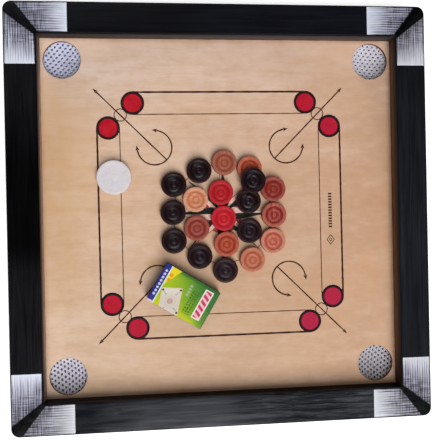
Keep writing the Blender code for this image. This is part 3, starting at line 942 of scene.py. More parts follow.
def sleeve_print(mat, wash):
    """Colour of the sleeve's outside, and the mask of its inside."""
    x, y, z = mat.place
    face_z = mat.facing[2]
    colour = mat.layers(card_green(mat, wash), card_picture(mat, wash))
    colour = card_corner(mat, wash, card_band(mat, colour))
    colour = card_strip(mat, wash, colour)
    # long sides: plain dark green past the blue strip
    side = abs(face_z).ramp(0.75, 0.5)
    flank = mat.mix(wash.ramp(0.3, 0.7), (0.020, 0.085, 0.018), (0.035, 0.130, 0.022))
    colour = mat.mix(side * x.ramp(-29.2, -28.9), colour, flank)
    within_height = z.ramp(0.25, 0.45) * z.ramp(17.75, 17.55)
    inside = abs(y).ramp(24.75, 24.55) * within_height * x.ramp(-36.1, -36.0)
    inside = inside * face_z.ramp(0.9, 0.7).larger(z.ramp(9.0, 8.0))
    return colour, inside


def printed_card(name, flap=False):
    """Coated carton board, grey inside. A flap is plain dark green."""
    mat = Paint(name)
    wash = mat.noise(0.05, twist=0.8, shift=(2, 6, 0))
    if flap:
        colour = mat.mix(wash.ramp(0.3, 0.7), (0.030, 0.130, 0.020), (0.055, 0.190, 0.028))
        inside = mat.facing[0].ramp(-0.3, -0.6)
    else:
        colour, inside = sleeve_print(mat, wash)
    fibre = mat.noise(1.2, rough=0.6)
    grey = mat.mix(fibre.ramp(0.3, 0.7), (0.36, 0.33, 0.28), (0.46, 0.43, 0.37))
    # rubbed corners
    chafe = mat.noise(0.5, detail=4.0, rough=0.65, twist=0.2, shift=(3, 3, 3))
    rubbed = abs(mat.place[1]).ramp(24.2, 25.0) * chafe.ramp(0.58, 0.70)
    crease = mat.noise((0.12, 0.35, 0.3), rough=0.6, twist=1.0, shift=(1, 8, 4))
    return mat.finish(
        Base_Color=mat.layers(colour, (inside, grey), (rubbed * 0.40, (0.42, 0.42, 0.34))),
        Roughness=(crease.ramp(0.3, 0.7, 0.36, 0.50) + inside * 0.3).clamped(),
        Normal=mat.bump(crease, depth=0.08, strength=0.4), Coat_Weight=0.05,
        Coat_Roughness=0.2, Specular_IOR_Level=0.22)


# ---- rails --------------------------------------------------------------------------
CORNER_R = 10.0
FOOT_ROUND, EDGE_ROUND = 1.4, 2.6
MITRE_GAP = 0.03                   # half the gap of a tight glued joint
MITRE_BEVEL = 0.16
CORNER_STEPS, RUN_STEPS = 10, 58


def rail_section():
    """(inset, height) once round the section, finely rounded, from the outer foot."""
    step = RAIL_W - REBATE
    lip = SURFACE + GAP
    return [
        *arc(FOOT_ROUND, FOOT_ROUND, FOOT_ROUND, 180, 270, 3),
        (10.0, 0.0), (20.0, 0.0), (step - 0.4, 0.0), (step, 0.4), (step, lip - 0.1),
        (step + 0.2, lip), (RAIL_W - 0.6, lip), (RAIL_W - 0.15, lip + 0.2),
        (RAIL_W, lip + 0.7), *((RAIL_W, z) for z in (24.0, 28.0, 32.0, 36.0)),
        *arc(RAIL_W - EDGE_ROUND, RAIL_H - EDGE_ROUND, EDGE_ROUND, 0, 90, 9),
        *((inset, RAIL_H) for inset in (32.0, 28.0, 24.0, 20.0, 16.0, 12.0, 8.0, 5.0)),
        *arc(EDGE_ROUND, RAIL_H - EDGE_ROUND, EDGE_ROUND, 90, 180, 9),
        *((0.0, z) for z in (32.0, 26.0, 20.0, 14.0, 8.0))]


def wobble(x, y, z):
    """Hand-planed unevenness, up to about 0.12 mm."""
    return (0.055 * math.sin(0.021 * x + 1.3) + 0.045 * math.sin(0.047 * y - 0.6)
            + 0.03 * math.sin(0.11 * x + 0.07 * y + 0.2 * z))


def corner_loops(section):
    """Section loops of the back rail, from its right mitre to the rounded corner's end."""
    loops = []
    for k in range(CORNER_STEPS + 1):
        share = k / CORNER_STEPS
        angle = math.radians(45 + 45 * k / CORNER_STEPS)
        loop = []
        for inset, z in section:
            half = HALF - inset
            radius = max(CORNER_R - inset, 0.0)
            if radius > 0:
                x = half - radius + radius * math.cos(angle)
                y = half - radius + radius * math.sin(angle)
            else:
                x, y = half - 3.0 * k / CORNER_STEPS, half
            loop.append((x - MITRE_GAP * (1 - share), y, z))
        loops.append(loop)
    # a small bevel on the mitre's edge
    middle = Vector([sum(values) / len(section) for values in zip(*section)])
    bevel = []
    for (x, y, z), point in zip(loops[0], section):
        inward = (middle - Vector(point)).normalized() * MITRE_BEVEL
        bevel.append((x, y - inward.x, z + inward.y))
    between = [(a[0] + (b[0] - a[0]) * 0.5, a[1] + (b[1] - a[1]) * 0.5, a[2])
               for a, b in zip(*loops[:2])]
    return [bevel, between] + loops[1:]


def rail_form(quarter):
    """A rail, turned by quarter turns from the back."""
    right = corner_loops(rail_section())
    left = [[(-x, y, z) for x, y, z in loop] for loop in right]
    run = [[(x + (-x - x) * (k / RUN_STEPS), y, z) for x, y, z in right[-1]]
           for k in range(1, RUN_STEPS)]
    form = loft(bmesh.new(), right + run + left[::-1])
    turn = Matrix.Rotation(math.radians(90 * quarter), 4, "Z")
    bmesh.ops.transform(form, matrix=turn, verts=form.verts)
    for vert in form.verts:
        if vert.co.z > 21.5:
            sway = wobble(*vert.co)
            vert.co.z = min(vert.co.z + sway * 0.8 - 0.05, RAIL_H + 0.05)
            vert.co.x *= 1 + 0.0003 * sway
            vert.co.y *= 1 + 0.0003 * sway
    return form


# each rail's grey tone and its shares along the rail are a painted reflection on its black
# each rail's inner face colours are set lighter or darker as painted light and shade on the
# stain, and darken towards its ends as painted shade
RAILS = {
    "back": dict(
        seed=1.0, base=(0.0008, 0.0009, 0.0016), reflection_grey=(0.0068, 0.0074, 0.0122),
        silver=(0.635, 0.675, 0.775),
        reflection_share=((-254, 0.45), (-140, 0.10), (-70, 0.15), (20, 0.80), (254, 1.0)),
        upper=(0.050, 0.045, 0.051), lower=(0.128, 0.088, 0.069),
        wall_end_shade=(0.40, 20.0, 0.70, 180.0), shine=0.15, patchy=0.30),
    "left": dict(
        seed=2.3, base=(0.0006, 0.0004, 0.0008), reflection_grey=(0.0100, 0.0098, 0.0125),
        silver=(0.67, 0.70, 0.80),
        reflection_share=((-254, 0.95), (-70, 0.85), (-30, 0.02), (60, 0.02), (150, 0.55),
                (254, 0.6)),
        upper=(0.070, 0.052, 0.050), lower=(0.520, 0.355, 0.290),
        wall_end_shade=(0.50, -150.0, 0.40, 150.0), shine=0.16, patchy=0.45),
    "front": dict(
        seed=3.7, base=(0.0018, 0.0030, 0.0060), reflection_grey=(0.068, 0.071, 0.083),
        silver=(0.64, 0.66, 0.70),
        reflection_share=((-254, 0.16), (-165, 0.0), (-128, 0.34), (-92, 0.72), (-20, 0.80),
                (26, 0.40), (75, 0.02), (120, 0.02), (165, 0.40)),
        upper=(0.0015, 0.0012, 0.0012), lower=(0.0110, 0.0033, 0.0008),
        wall_end_shade=(0.6, -150.0, 0.6, 150.0), shine=0.27, patchy=0.70,
        settled=(-112.0, 0.0, 50.0, 175.0)),
    "right": dict(
        seed=5.1, base=(0.0022, 0.0026, 0.0044), reflection_grey=(0.0130, 0.0150, 0.0200),
        silver=(0.595, 0.612, 0.668),
        reflection_share=((-254, 0.85), (-120, 0.82), (-20, 0.95), (60, 0.72), (254, 0.35)),
        upper=(0.042, 0.029, 0.025), lower=(0.235, 0.118, 0.064),
        wall_end_shade=(0.04, -168.0, 0.80, 190.0), shine=0.22, patchy=0.40),
}
for quarter, (side, look) in enumerate(RAILS.items()):
    paint = rail_paint("paint_" + side, along_x=quarter % 2 == 0, **look)
    put("rail_" + side + "_painted", rail_form(quarter), paint, "rail_paint",
        ("rail_" + side,), smooth=32.0)


# ---- plywood panel ------------------------------------------------------------------
def tack_places(corner):
    """Centres of the four tacks round a pocket."""
    sx, sy = CORNERS[corner]
    return arc(sx * POCKET_AT, sy * POCKET_AT, TACK_RING_R, 45, 315, 3)


def panel_form():
    """The sheet with its pockets, tack holes and screw holes."""
    tools = bmesh.new()
    ease = 0.45                    # rounding of a pocket's edges
    pocket = [(0, PLY_LOW - 2), (POCKET_R + ease + 2, PLY_LOW - 2),
              (POCKET_R, PLY_LOW + ease), (POCKET_R, SURFACE - ease),
              (POCKET_R + 0.13, SURFACE - 0.16), (POCKET_R + ease, SURFACE),
              (POCKET_R + ease + 0.4, SURFACE + 2), (0, SURFACE + 2)]
    tack_hole = [(0, 12), (0.75, 12), (0.75, 17.6), (0, 17.6)]
    screw_hole = [(0, 12), (1.85, 12), (1.85, 22), (0, 22)]
    for corner, (sx, sy) in CORNERS.items():
        lathe(pocket, 144, tools, (sx * POCKET_AT, sy * POCKET_AT, 0))
        for place in tack_places(corner):
            lathe(tack_hole, 12, tools, (*place, 0))
    for sx, sy in SIDES.values():
        lathe(screw_hole, 20, tools, (sx * BATTEN_SCREW_AT, sy * BATTEN_SCREW_AT, 0))
    panel = bool_cut(plate(PLY_HALF, PLY_HALF, PLY_LOW, SURFACE, 0.35), tools)
    bmesh.ops.triangulate(panel, faces=[face for face in panel.faces
                                        if len(face.verts) > 8])
    return panel


put("playing_surface_veneer", panel_form(), plywood(), "plywood", ("playing_surface",),
    smooth=30.0, recalc=False)

# ---- printed markings: thin closed films of ink on the veneer -----------------------
INK_TOP = 0.06                     # height of a film over the surface
INK_SINK = 0.02                    # how far it reaches into the surface
LANE_AT, SPOT_AT = 137.0, 107.0    # lane's middle, and its end circles along it
COLUMN_X = 136.0
QUARTERS = [(1, 0), (0, 1), (-1, 0), (0, -1)]


def at_height(points, z):
    return [(*point, z) for point in points]


def film(form, outline, top=INK_TOP, hole=None):
    """A closed film with the given outline, and a hole of as many points."""
    low, high = SURFACE - INK_SINK, SURFACE + top
    if hole:
        loft(form, [at_height(hole, low), at_height(outline, low),
                    at_height(outline, high), at_height(hole, high)], join=True)
    else:
        loft(form, [at_height(outline, low), at_height(outline, high)])


def circle_film(form, x, y, outer, inner=None, steps=96, top=INK_TOP):
    hole = arc(x, y, inner, 0, 360, steps)[:-1] if inner else None
    film(form, arc(x, y, outer, 0, 360, steps)[:-1], top, hole)


def line_film(form, points, width, top=INK_TOP):
    """An open line drawn through points, with a hand-cut screen's slight unevenness."""
    low, high = SURFACE - INK_SINK, SURFACE + top
    loops = []
    for i, point in enumerate(points):
        before = Vector(points[max(i - 1, 0)])
        after = Vector(points[min(i + 1, len(points) - 1)])
        ahead = (after - before).normalized()
        side = Vector((-ahead.y, ahead.x))
        half = width / 2 * (1 + 0.10 * math.sin(0.31 * (point[0] + 1.7 * point[1]))
                            + 0.06 * math.sin(1.3 * point[0] - 0.7 * point[1]))
        left = tuple(Vector(point) + side * half)
        right = tuple(Vector(point) - side * half)
        loops.append([(*left, low), (*right, low), (*right, high), (*left, high)])
    loft(form, loops)


def straight(start, end, step=4.0):
    start, end = Vector(start), Vector(end)
    count = max(int((end - start).length / step), 1)
    return [tuple(start + (end - start) * k / count) for k in range(count + 1)]


def turned(points, cos, sin):
    return [(x * cos - y * sin, x * sin + y * cos) for x, y in points]


def print_lanes(outer_lines, inner_lines, rings, discs):
    """On each side a thick outer line, a thin inner one, and a ringed disc at each end."""
    for cos, sin in QUARTERS:
        for form, x, width in ((outer_lines, LANE_AT + 13.3, 2.25),
                               (inner_lines, LANE_AT - 13.8, 1.15)):
            line = straight((x, -SPOT_AT), (x, SPOT_AT))
            line_film(form, turned(line, cos, sin), width)
        for x, y in turned([(LANE_AT, SPOT_AT), (LANE_AT, -SPOT_AT)], cos, sin):
            circle_film(rings, x, y, 14.3, 10.9, top=0.075)
            circle_film(discs, x, y, 11.0, top=0.09)


def print_corner(marks, sx, sy):
    """Small circle, long arrow, and an open arc with an arrowhead at each end."""
    def flip(points):
        return [(x * sx, y * sy) for x, y in points]

    circle_film(marks, *flip([(122.0, 122.6)])[0], 8.0, 6.85, 72)
    line_film(marks, flip(straight((66.5, 67.0), (150.5, 151.0))), 1.6, 0.075)
    tip = Vector((154.5, 155.0))
    back = Vector((-1, -1)).normalized()
    wing = Vector((-1, 1)).normalized()
    head = [tip, tip + back * 7.0 + wing * 2.2, tip + back * 5.2,
            tip + back * 7.0 - wing * 2.2]
    film(marks, flip(head)[::sx * sy], 0.09)
    # the arc opens towards the corner
    bow = arc(81.5, 82.5, 21.0, 97.0, 353.0, 64)
    line_film(marks, flip(bow), 1.75)
    for end, heading in ((bow[0], 10.0), (bow[-1], 80.0)):
        end = Vector(end)
        ahead = Vector((math.cos(math.radians(heading)), math.sin(math.radians(heading))))
        wing = Vector((-ahead.y, ahead.x))
        head = [end + ahead * 5.6, end - ahead * 0.8 + wing * 2.4, end + ahead * 0.5,
                end - ahead * 0.8 - wing * 2.4]
        film(marks, flip(head)[::sx * sy], 0.085)


def print_column(marks):
    """A plain column of equal bars and a small open diamond in the right-hand lane."""
    half_width, bar_height, pitch, first_top = 2.2, 2.0, 3.43, 22.9
    left, right = COLUMN_X - half_width, COLUMN_X + half_width
    for k in range(13):
        y = first_top - pitch * k
        low = y - bar_height
        film(marks, [(left, low), (right, low), (right, y), (left, y)], 0.085)
    diamond_y = -35.6
    for reach in (6.0, 2.2):
        tips = [(COLUMN_X + x * reach * 0.8, diamond_y + y * reach) for x, y in QUARTERS]
        for start, end in zip(tips, tips[1:] + tips[:1]):
            line_film(marks, straight(start, end, 2.0), 0.8, 0.085)


def print_star(dark, pale):
    """Eight points, each clockwise half dark and the other pale with a thin dark outline."""
    for k in range(8):
        if k % 2 == 0:
            (x, y), reach, top = (13.0, 8.4), 60.6, 0.11
        else:
            (x, y), reach, top = (17.0, 5.8), 59.0, 0.08
        angle = math.radians(45 * k)
        cos, sin = math.cos(angle), math.sin(angle)
        film(dark, turned([(0, 0), (x, -y), (reach, 0)], cos, sin), top)
        film(pale, turned([(0, 0), (reach, 0), (x, y)], cos, sin), top - 0.01)
        for start, end in (((x, y), (reach, 0)), ((0, 0), (reach, 0)), ((0, 0), (x, y))):
            line_film(dark, turned(straight(start, end, 6.0), cos, sin), 0.55,
                      top + 0.015)


lane_lines, inner_lines, base_rings, base_discs, marks = (bmesh.new() for _ in range(5))
centre_ring, star_red, star_dark, star_pale = (bmesh.new() for _ in range(4))
print_lanes(lane_lines, inner_lines, base_rings, base_discs)
for sx, sy in ((1, 1), (1, -1), (-1, -1), (-1, 1)):
    print_corner(marks, sx, sy)
print_column(marks)
circle_film(centre_ring, 0, 0, 61.5, 60.5, 160)
circle_film(star_red, 0, 0, 24.5, top=0.05)
print_star(star_dark, star_pale)

# the whole print sits a little askew on the panel
askew = (Matrix.Translation((-0.16, 2.13, 0)) @ Matrix.Rotation(math.radians(0.219), 4, "Z")
         @ Matrix.Diagonal((0.998, 0.998, 1.0, 1.0)))
PRINTS = [
    ("lane_lines", lane_lines,
     ink("ink_black", (0.030, 0.007, 0.005), worn=0.12, seed=1)),
    ("inner_lines", inner_lines,
     ink("ink_brown", (0.070, 0.022, 0.010), worn=0.30, seed=2)),
    ("base_rings", base_rings,
     ink("ink_ring", (0.014, 0.005, 0.007), worn=0.20, seed=3)),
    ("base_discs", base_discs,
     ink("ink_red", (0.360, 0.0030, 0.012), worn=0.06, seed=4, rough=0.46,
         front_right=(0.385, 0.014, 0.048))),
    ("corner_marks", marks,
     ink("ink_marks", (0.038, 0.008, 0.004), worn=0.14, seed=5)),
    ("centre_ring", centre_ring,
     ink("ink_centre", (0.060, 0.028, 0.018), worn=0.4, seed=6)),
    ("star_red", star_red,
     ink("ink_star_red", (0.28, 0.030, 0.040), worn=0.2, seed=7)),
    ("star_dark", star_dark,
     ink("ink_star_dark", (0.008, 0.016, 0.012), worn=0.15, seed=8)),
    ("star_pale", star_pale,
     ink("ink_star_pale", (0.60, 0.385, 0.315), worn=0.3, seed=9)),
]
for name, form, coat in PRINTS:
    bmesh.ops.transform(form, matrix=askew, verts=form.verts)
    put("printed_" + name, form, coat, "plywood", smooth=None)

# ---- pocket nets: perforated knit, draped by cloth simulation, with a taped rim -----
PITCH_X, PITCH_Y = 5.8, 3.75       # the knit's staggered cells
SHEET_R = 27.0
HELD_R = 24.4                      # the sheet is held beyond this radius
HEM_OUTER_R = 31.4
CLOTH_UNIT = 10.0 * MM             # cloth is simulated ten times larger, which is steadier
CLOTH_FRAMES = 30


def cell_rim(x, y):
    """Corners and edge middles of the six-sided cell round a lattice point."""
    half = PITCH_X / 2
    tip = (half * half + PITCH_Y * PITCH_Y) / (2 * PITCH_Y)
    side = (PITCH_Y * PITCH_Y - half * half) / (2 * PITCH_Y)
    corners = [(x, y + tip), (x - half, y + side), (x - half, y - side),
               (x, y - tip), (x + half, y - side), (x + half, y + side)]
    rim = []
    for a, b in zip(corners, corners[1:] + corners[:1]):
        rim += [a, ((a[0] + b[0]) / 2, (a[1] + b[1]) / 2)]
    return rim


def oval_hole(x, y, rim, hole_size, lean):
    """The point of the cell's hole that faces each rim point."""
    lean = math.radians(lean)
    hole = []
    for rim_x, rim_y in rim:
        angle = math.atan2((rim_y - y) / PITCH_Y, (rim_x - x) / (PITCH_X * 0.62))
        a = hole_size[0] * math.cos(angle - lean)
        b = hole_size[1] * math.sin(angle - lean)
        hole.append((x + a * math.cos(lean) - b * math.sin(lean),
                     y + a * math.sin(lean) + b * math.cos(lean)))
    return hole


def knit_sheet(turn, shift, hole_size, lean):
    """Flat sheet of six-sided cells, each with an oval hole, clipped to a disc. lean is the
    angle of the oval's long axis in the sheet."""
    form = bmesh.new()
    known = {}

    def vert(x, y):
        key = (round(x, 3), round(y, 3))
        if key not in known:
            known[key] = form.verts.new((x, y, 0))
        return known[key]

    rows = int(SHEET_R / PITCH_Y) + 3
    columns = int(SHEET_R / PITCH_X) + 3
    for j in range(-rows, rows + 1):
        for i in range(-columns, columns + 1):
            x = i * PITCH_X + (PITCH_X / 2 if j % 2 else 0) + shift[0]
            y = j * PITCH_Y + shift[1]
            if math.hypot(x, y) > SHEET_R:
                continue
            rim = cell_rim(x, y)
            hole = oval_hole(x, y, rim, hole_size, lean)
            middle = [((a[0] + 1.1 * b[0]) / 2.1, (a[1] + 1.1 * b[1]) / 2.1)
                      for a, b in zip(rim, hole)]
            loops = [[vert(*point) for point in loop] for loop in (rim, middle, hole)]
            for outer, inner in zip(loops, loops[1:]):
                for k in range(len(outer)):
                    n = (k + 1) % len(outer)
                    form.faces.new((outer[k], outer[n], inner[n], inner[k]))
    bmesh.ops.rotate(form, cent=(0, 0, 0), verts=form.verts,
                     matrix=Matrix.Rotation(math.radians(turn), 3, "Z"))
    return form


def sag_by_hand(form, depth):
    for vert in form.verts:
        share = min(max(1 - (vert.co.xy.length / 24.2) ** 2, 0.0), 1.0)
        vert.co.z = -depth * share ** 0.8


def add_cloth(obj):
    cloth = obj.modifiers.new("cloth", "CLOTH")
    settings = dict(
        quality=6, mass=0.25, air_damping=2.0,
        tension_stiffness=5.0, compression_stiffness=5.0, shear_stiffness=3.0,
        bending_stiffness=0.6,
        tension_damping=12.0, compression_damping=12.0, shear_damping=12.0,
        vertex_group_mass="held", shrink_min=-0.10)
    for key, value in settings.items():
        setattr(cloth.settings, key, value)
    cloth.collision_settings.use_collision = False
    cloth.collision_settings.use_self_collision = False
    cloth.point_cache.frame_start = 1
    cloth.point_cache.frame_end = CLOTH_FRAMES


def drape(form, depth, name):
    """Sheet in, hanging bag out."""
    resize(form, CLOTH_UNIT)
    mesh = raw_mesh(name + "_sheet", form)
    obj = add_object(name + "_sheet", mesh)
    held = obj.vertex_groups.new(name="held")
    held.add([vert.index for vert in mesh.vertices
              if vert.co.xy.length > HELD_R * CLOTH_UNIT], 1.0, "REPLACE")
    add_cloth(obj)
    scene = bpy.context.scene
    for frame in range(1, CLOTH_FRAMES + 1):
        scene.frame_set(frame)
    made = evaluated_mesh(obj)
    scene.frame_set(1)
    out = bmesh.new()
    out.from_mesh(made)
    resize(out, 1 / CLOTH_UNIT)
    bpy.data.objects.remove(obj, do_unlink=True)
    bpy.data.meshes.remove(made)
    # hold the bag inside the space under the board
    deepest = -min(vert.co.z for vert in out.verts)
    gain = depth / deepest if deepest > 1e-3 else 0.0
    if 0.2 < gain < 5:
        for vert in out.verts:
            vert.co.z *= gain
    else:
        sag_by_hand(out, depth)
    return out


def knit_mesh(name, form, centre):
    """Thickened knit, its rim just under the plywood."""
    for vert in form.verts:
        vert.co.z += UNDER_PLY - 0.55
    resize(form, MM)
    bmesh.ops.translate(form, vec=(centre[0] * MM, centre[1] * MM, 0), verts=form.verts)
    bmesh.ops.recalc_face_normals(form, faces=form.faces)
    obj = add_object(name, raw_mesh(name, form))
    thick = obj.modifiers.new("thick", "SOLIDIFY")
    thick.thickness = 0.62 * MM
    thick.offset = 0.0
    fine = obj.modifiers.new("fine", "SUBSURF")
    fine.levels = fine.render_levels = 1
    made = evaluated_mesh(obj)
    bpy.data.objects.remove(obj, do_unlink=True)
    smooth_mesh(made, 80.0)
    return made


def hem_form(centre, phase):
    """Taped rim, tacked to the underside of the plywood."""
    low, high, steps = UNDER_PLY - 1.15, UNDER_PLY, 120
    inner, outer = HELD_R, HEM_OUTER_R
    # (radius, height) round the tape
    section = [(inner, low + 0.35), (inner + 0.25, low + 0.08), (inner + 1.0, low),
               (27.0, low + 0.05), (28.6, low - 0.04), (30.2, low + 0.03),
               (outer - 0.6, low + 0.02), (outer - 0.15, low + 0.12), (outer, low + 0.4),
               (outer, high - 0.4), (outer - 0.3, high - 0.02), (29.0, high),
               (26.6, high), (inner + 0.4, high - 0.03), (inner, high - 0.3)]
    loops = []
    for k in range(steps):
        angle = 2 * math.pi * k / steps
        ripple = 0.06 * math.sin(9 * angle + phase) + 0.04 * math.sin(23 * angle)
        loop = []
        for radius, z in section:
            if radius > 30:
                radius += ripple
            loop.append((centre[0] + radius * math.cos(angle),
                         centre[1] + radius * math.sin(angle), z))
        loops.append(loop)
    return loft(bmesh.new(), loops, join=True)


NETS = {
    "back_left": dict(
        turn=-7.5, shift=(0.6, 0.4), hole_size=(1.52, 0.94), lean=42.0, depth=8.0,
        light=(0.74, 0.75, 0.93), shade=(0.44, 0.45, 0.60)),
    "back_right": dict(
        turn=-5.0, shift=(1.5, 1.0), hole_size=(1.06, 0.84), lean=25.0, depth=8.4,
        light=(0.74, 0.72, 0.78), shade=(0.47, 0.45, 0.51)),
    "front_left": dict(
        turn=93.0, shift=(0.2, 1.4), hole_size=(1.50, 1.18), lean=0.0, depth=8.2,
        light=(0.84, 0.80, 0.89), shade=(0.50, 0.47, 0.55)),
    "front_right": dict(
        turn=84.0, shift=(1.1, 0.3), hole_size=(1.42, 1.16), lean=0.0, depth=8.6,
        light=(0.68, 0.63, 0.67), shade=(0.37, 0.35, 0.38)),
}


def put_net(corner, seed, turn, shift, hole_size, lean, depth, light, shade):
    name = "pocket_net_" + corner
    yarn = knit("knit_" + corner, light, shade, seed)
    centre = [sign * POCKET_AT for sign in CORNERS[corner]]
    bag = drape(knit_sheet(turn, shift, hole_size, lean), depth, name)
    put_mesh(name + "_knit", knit_mesh(name + "_knit", bag, centre), yarn, "net_cord",
             (name,))
    put(name + "_hem", hem_form(centre, phase=turn), yarn, "net_cord", smooth=60.0)


for seed, (corner, net) in enumerate(NETS.items(), 1):
    put_net(corner, seed, **net)

# ---- battens and small hardware -----------------------------------------------------
BATTEN_HALF_W = 18.0
BATTEN_LOW = UNDER_PLY - 10.0
BATTEN_MID = (BATTEN_LOW + UNDER_PLY) / 2
SCREW_FOOT = BATTEN_LOW + 0.2
steel = zinc()


def countersink(tool, x, y, top):
    """Adds a screw hole from the batten's underside up to top."""
    lathe([(0, BATTEN_LOW - 1), (3.95, BATTEN_LOW - 1), (3.95, BATTEN_LOW + 0.75),
           (1.95, BATTEN_LOW + 2.9), (1.95, top), (0, top)], 32, tool, (x, y, 0))


def batten(along_x):
    """Planed slat with eased edges. The one along X loses the upper half of the lap and
    has the lap screw's hole; the other loses the lower half."""
    lap = BATTEN_HALF_W + GAP
    if along_x:
        body = plate(PLY_HALF, BATTEN_HALF_W, BATTEN_LOW, UNDER_PLY, 0.8)
        tool = plate(lap, 24.0, BATTEN_MID - GAP / 2, UNDER_PLY + 3, 0.05)
        ends = ((BATTEN_SCREW_AT, 0), (-BATTEN_SCREW_AT, 0))
    else:
        body = plate(BATTEN_HALF_W, PLY_HALF, BATTEN_LOW, UNDER_PLY, 0.8)
        tool = plate(24.0, lap, BATTEN_LOW - 3, BATTEN_MID + GAP / 2, 0.05)
        ends = ((0, BATTEN_SCREW_AT), (0, -BATTEN_SCREW_AT))
    for x, y in ends:
        countersink(tool, x, y, UNDER_PLY + 1)
    if along_x:
        countersink(tool, 0, 0, BATTEN_MID - 0.4)
    return bool_cut(body, tool)


for axis in "xy":
    put("batten_" + axis + "_planed", batten(axis == "x"),
        raw_wood("wood_batten_" + axis, axis == "x"), "batten_wood", ("batten_" + axis,),
        smooth=30.0, recalc=False)


def screw_body(size):
    """Countersunk screw, head at 0 facing down, with a thread."""
    profile = [(0, 0), (3.2, 0.0), (3.5, 0.12), (3.6, 0.4), (3.5, 0.6), (1.75, 2.5)]
    z = 3.4
    while z < size - 3.4:
        profile += [(1.30, z), (1.70, z + 0.45), (1.30, z + 0.9)]
        z += 1.3
    profile += [(1.25, size - 2.6), (0.6, size - 0.9), (0, size)]
    return lathe(profile, 36)


def slot_bar(turn):
    """One of the two bars that make the cross slot, narrower as it goes in."""
    half = 0.42
    tool = loft(bmesh.new(), [
        [(reach, half, z), (-reach, half, z), (-reach, -half, z), (reach, -half, z)]
        for z, reach in ((-1.0, 2.3), (0.2, 2.1), (1.5, 0.7))])
    bmesh.ops.rotate(tool, cent=(0, 0, 0), verts=tool.verts,
                     matrix=Matrix.Rotation(math.radians(turn), 3, "Z"))
    return tool


def cross_headed(name, size):
    form = bool_cut(screw_body(size), slot_bar(20))
    return finished_mesh(name, bool_cut(form, slot_bar(110)), 30, recalc=False)


long_screw = cross_headed("screw_long", 26.0)
short_screw = cross_headed("screw_short", 9.2)
for side, (sx, sy) in SIDES.items():
    put_mesh("batten_screw_" + side + "_turned", long_screw, steel, "zinc_steel",
             ("batten_screw_" + side,),
             at=(sx * BATTEN_SCREW_AT, sy * BATTEN_SCREW_AT, SCREW_FOOT))
put_mesh("lap_screw_turned", short_screw, steel, "zinc_steel", ("lap_screw",),
         at=(0, 0, SCREW_FOOT))

# profiles are (radius, height) from the head's middle
NAIL = [(0, 0.0), (1.2, 0.02), (2.0, 0.12), (2.2, 0.35), (2.15, 0.8), (1.3, 1.05),
        (1.2, 1.6), (1.2, 35.5), (0.7, 37.0), (0, 38.0)]
TACK = [(0, 0.0), (0.7, 0.03), (1.4, 0.18), (2.0, 0.42), (2.4, 0.72), (2.5, 0.92),
        (2.35, 0.98), (1.5, 0.86), (0.7, 0.9), (0.66, 3.2), (0.3, 3.8), (0, 4.0)]
TACK_Z = UNDER_PLY - 1.2 - GAP - 0.8
nail = finished_mesh("nail_drawn", lathe(NAIL, 40))
for corner, (sx, sy) in CORNERS.items():
    inward = Vector((-sx, 0, 0)).to_track_quat("Z", "Y").to_euler()
    put_mesh("corner_nail_" + corner + "_drawn", nail, steel, "zinc_steel",
             ("corner_nail_" + corner,), rotation=inward,
             at=(sx * (HALF - 0.5), sy * (HALF - 14.0), 29.0))
tack = finished_mesh("tack_domed", lathe(TACK, 36))
for corner in CORNERS:
    for number, place in enumerate(tack_places(corner), 1):
        node = "net_tack_%s_%d" % (corner, number)
        put_mesh(node + "_domed", tack, steel, "zinc_steel", (node,), at=(*place, TACK_Z))


# ---- men and striker ----------------------------------------------------------------
def man_profile(seed):
    """Turned man: crowned side, broad rim, groove, raised ring and a centre button.
    Each one is turned by hand, so the radii differ a little."""
    rng = random.Random(seed)
    rim, groove, slope, ring, inner_slope, inner_groove = (
        rng.uniform(-0.22, 0.22) for _ in range(6))
    # (radius, height)
    foot = [(0, 0.25), (5.0, 0.22), (11.5, 0.2), (12.6, 0.05)]
    side = [(13.9, 0.0), (14.8, 0.14), (15.25, 0.6), (15.42, 1.6), (15.5, 4.0),
            (15.42, 6.2), (15.2, 7.2), (14.75, 7.75), (14.0, 7.97)]
    top = [(14.0, 7.97), (13.0, 8.0), (12.1 + rim, 7.93), (11.3 + rim, 7.62),
           (10.5 + rim, 7.14), (9.5 + groove, 6.96), (8.6 + groove, 7.10),
           (7.8 + slope, 7.44), (7.0 + slope, 7.68), (6.1 + ring, 7.72),
           (5.3 + ring, 7.50), (4.6 + inner_slope, 7.16), (3.9 + inner_slope, 7.02),
           (3.2 + inner_groove, 7.08), (2.5, 7.36), (1.8, 7.60), (1.1, 7.62), (0.6, 7.56)]
    return foot + smooth_curve(side, 3)[:-1] + smooth_curve(top, 3) + [(0, 7.54)]


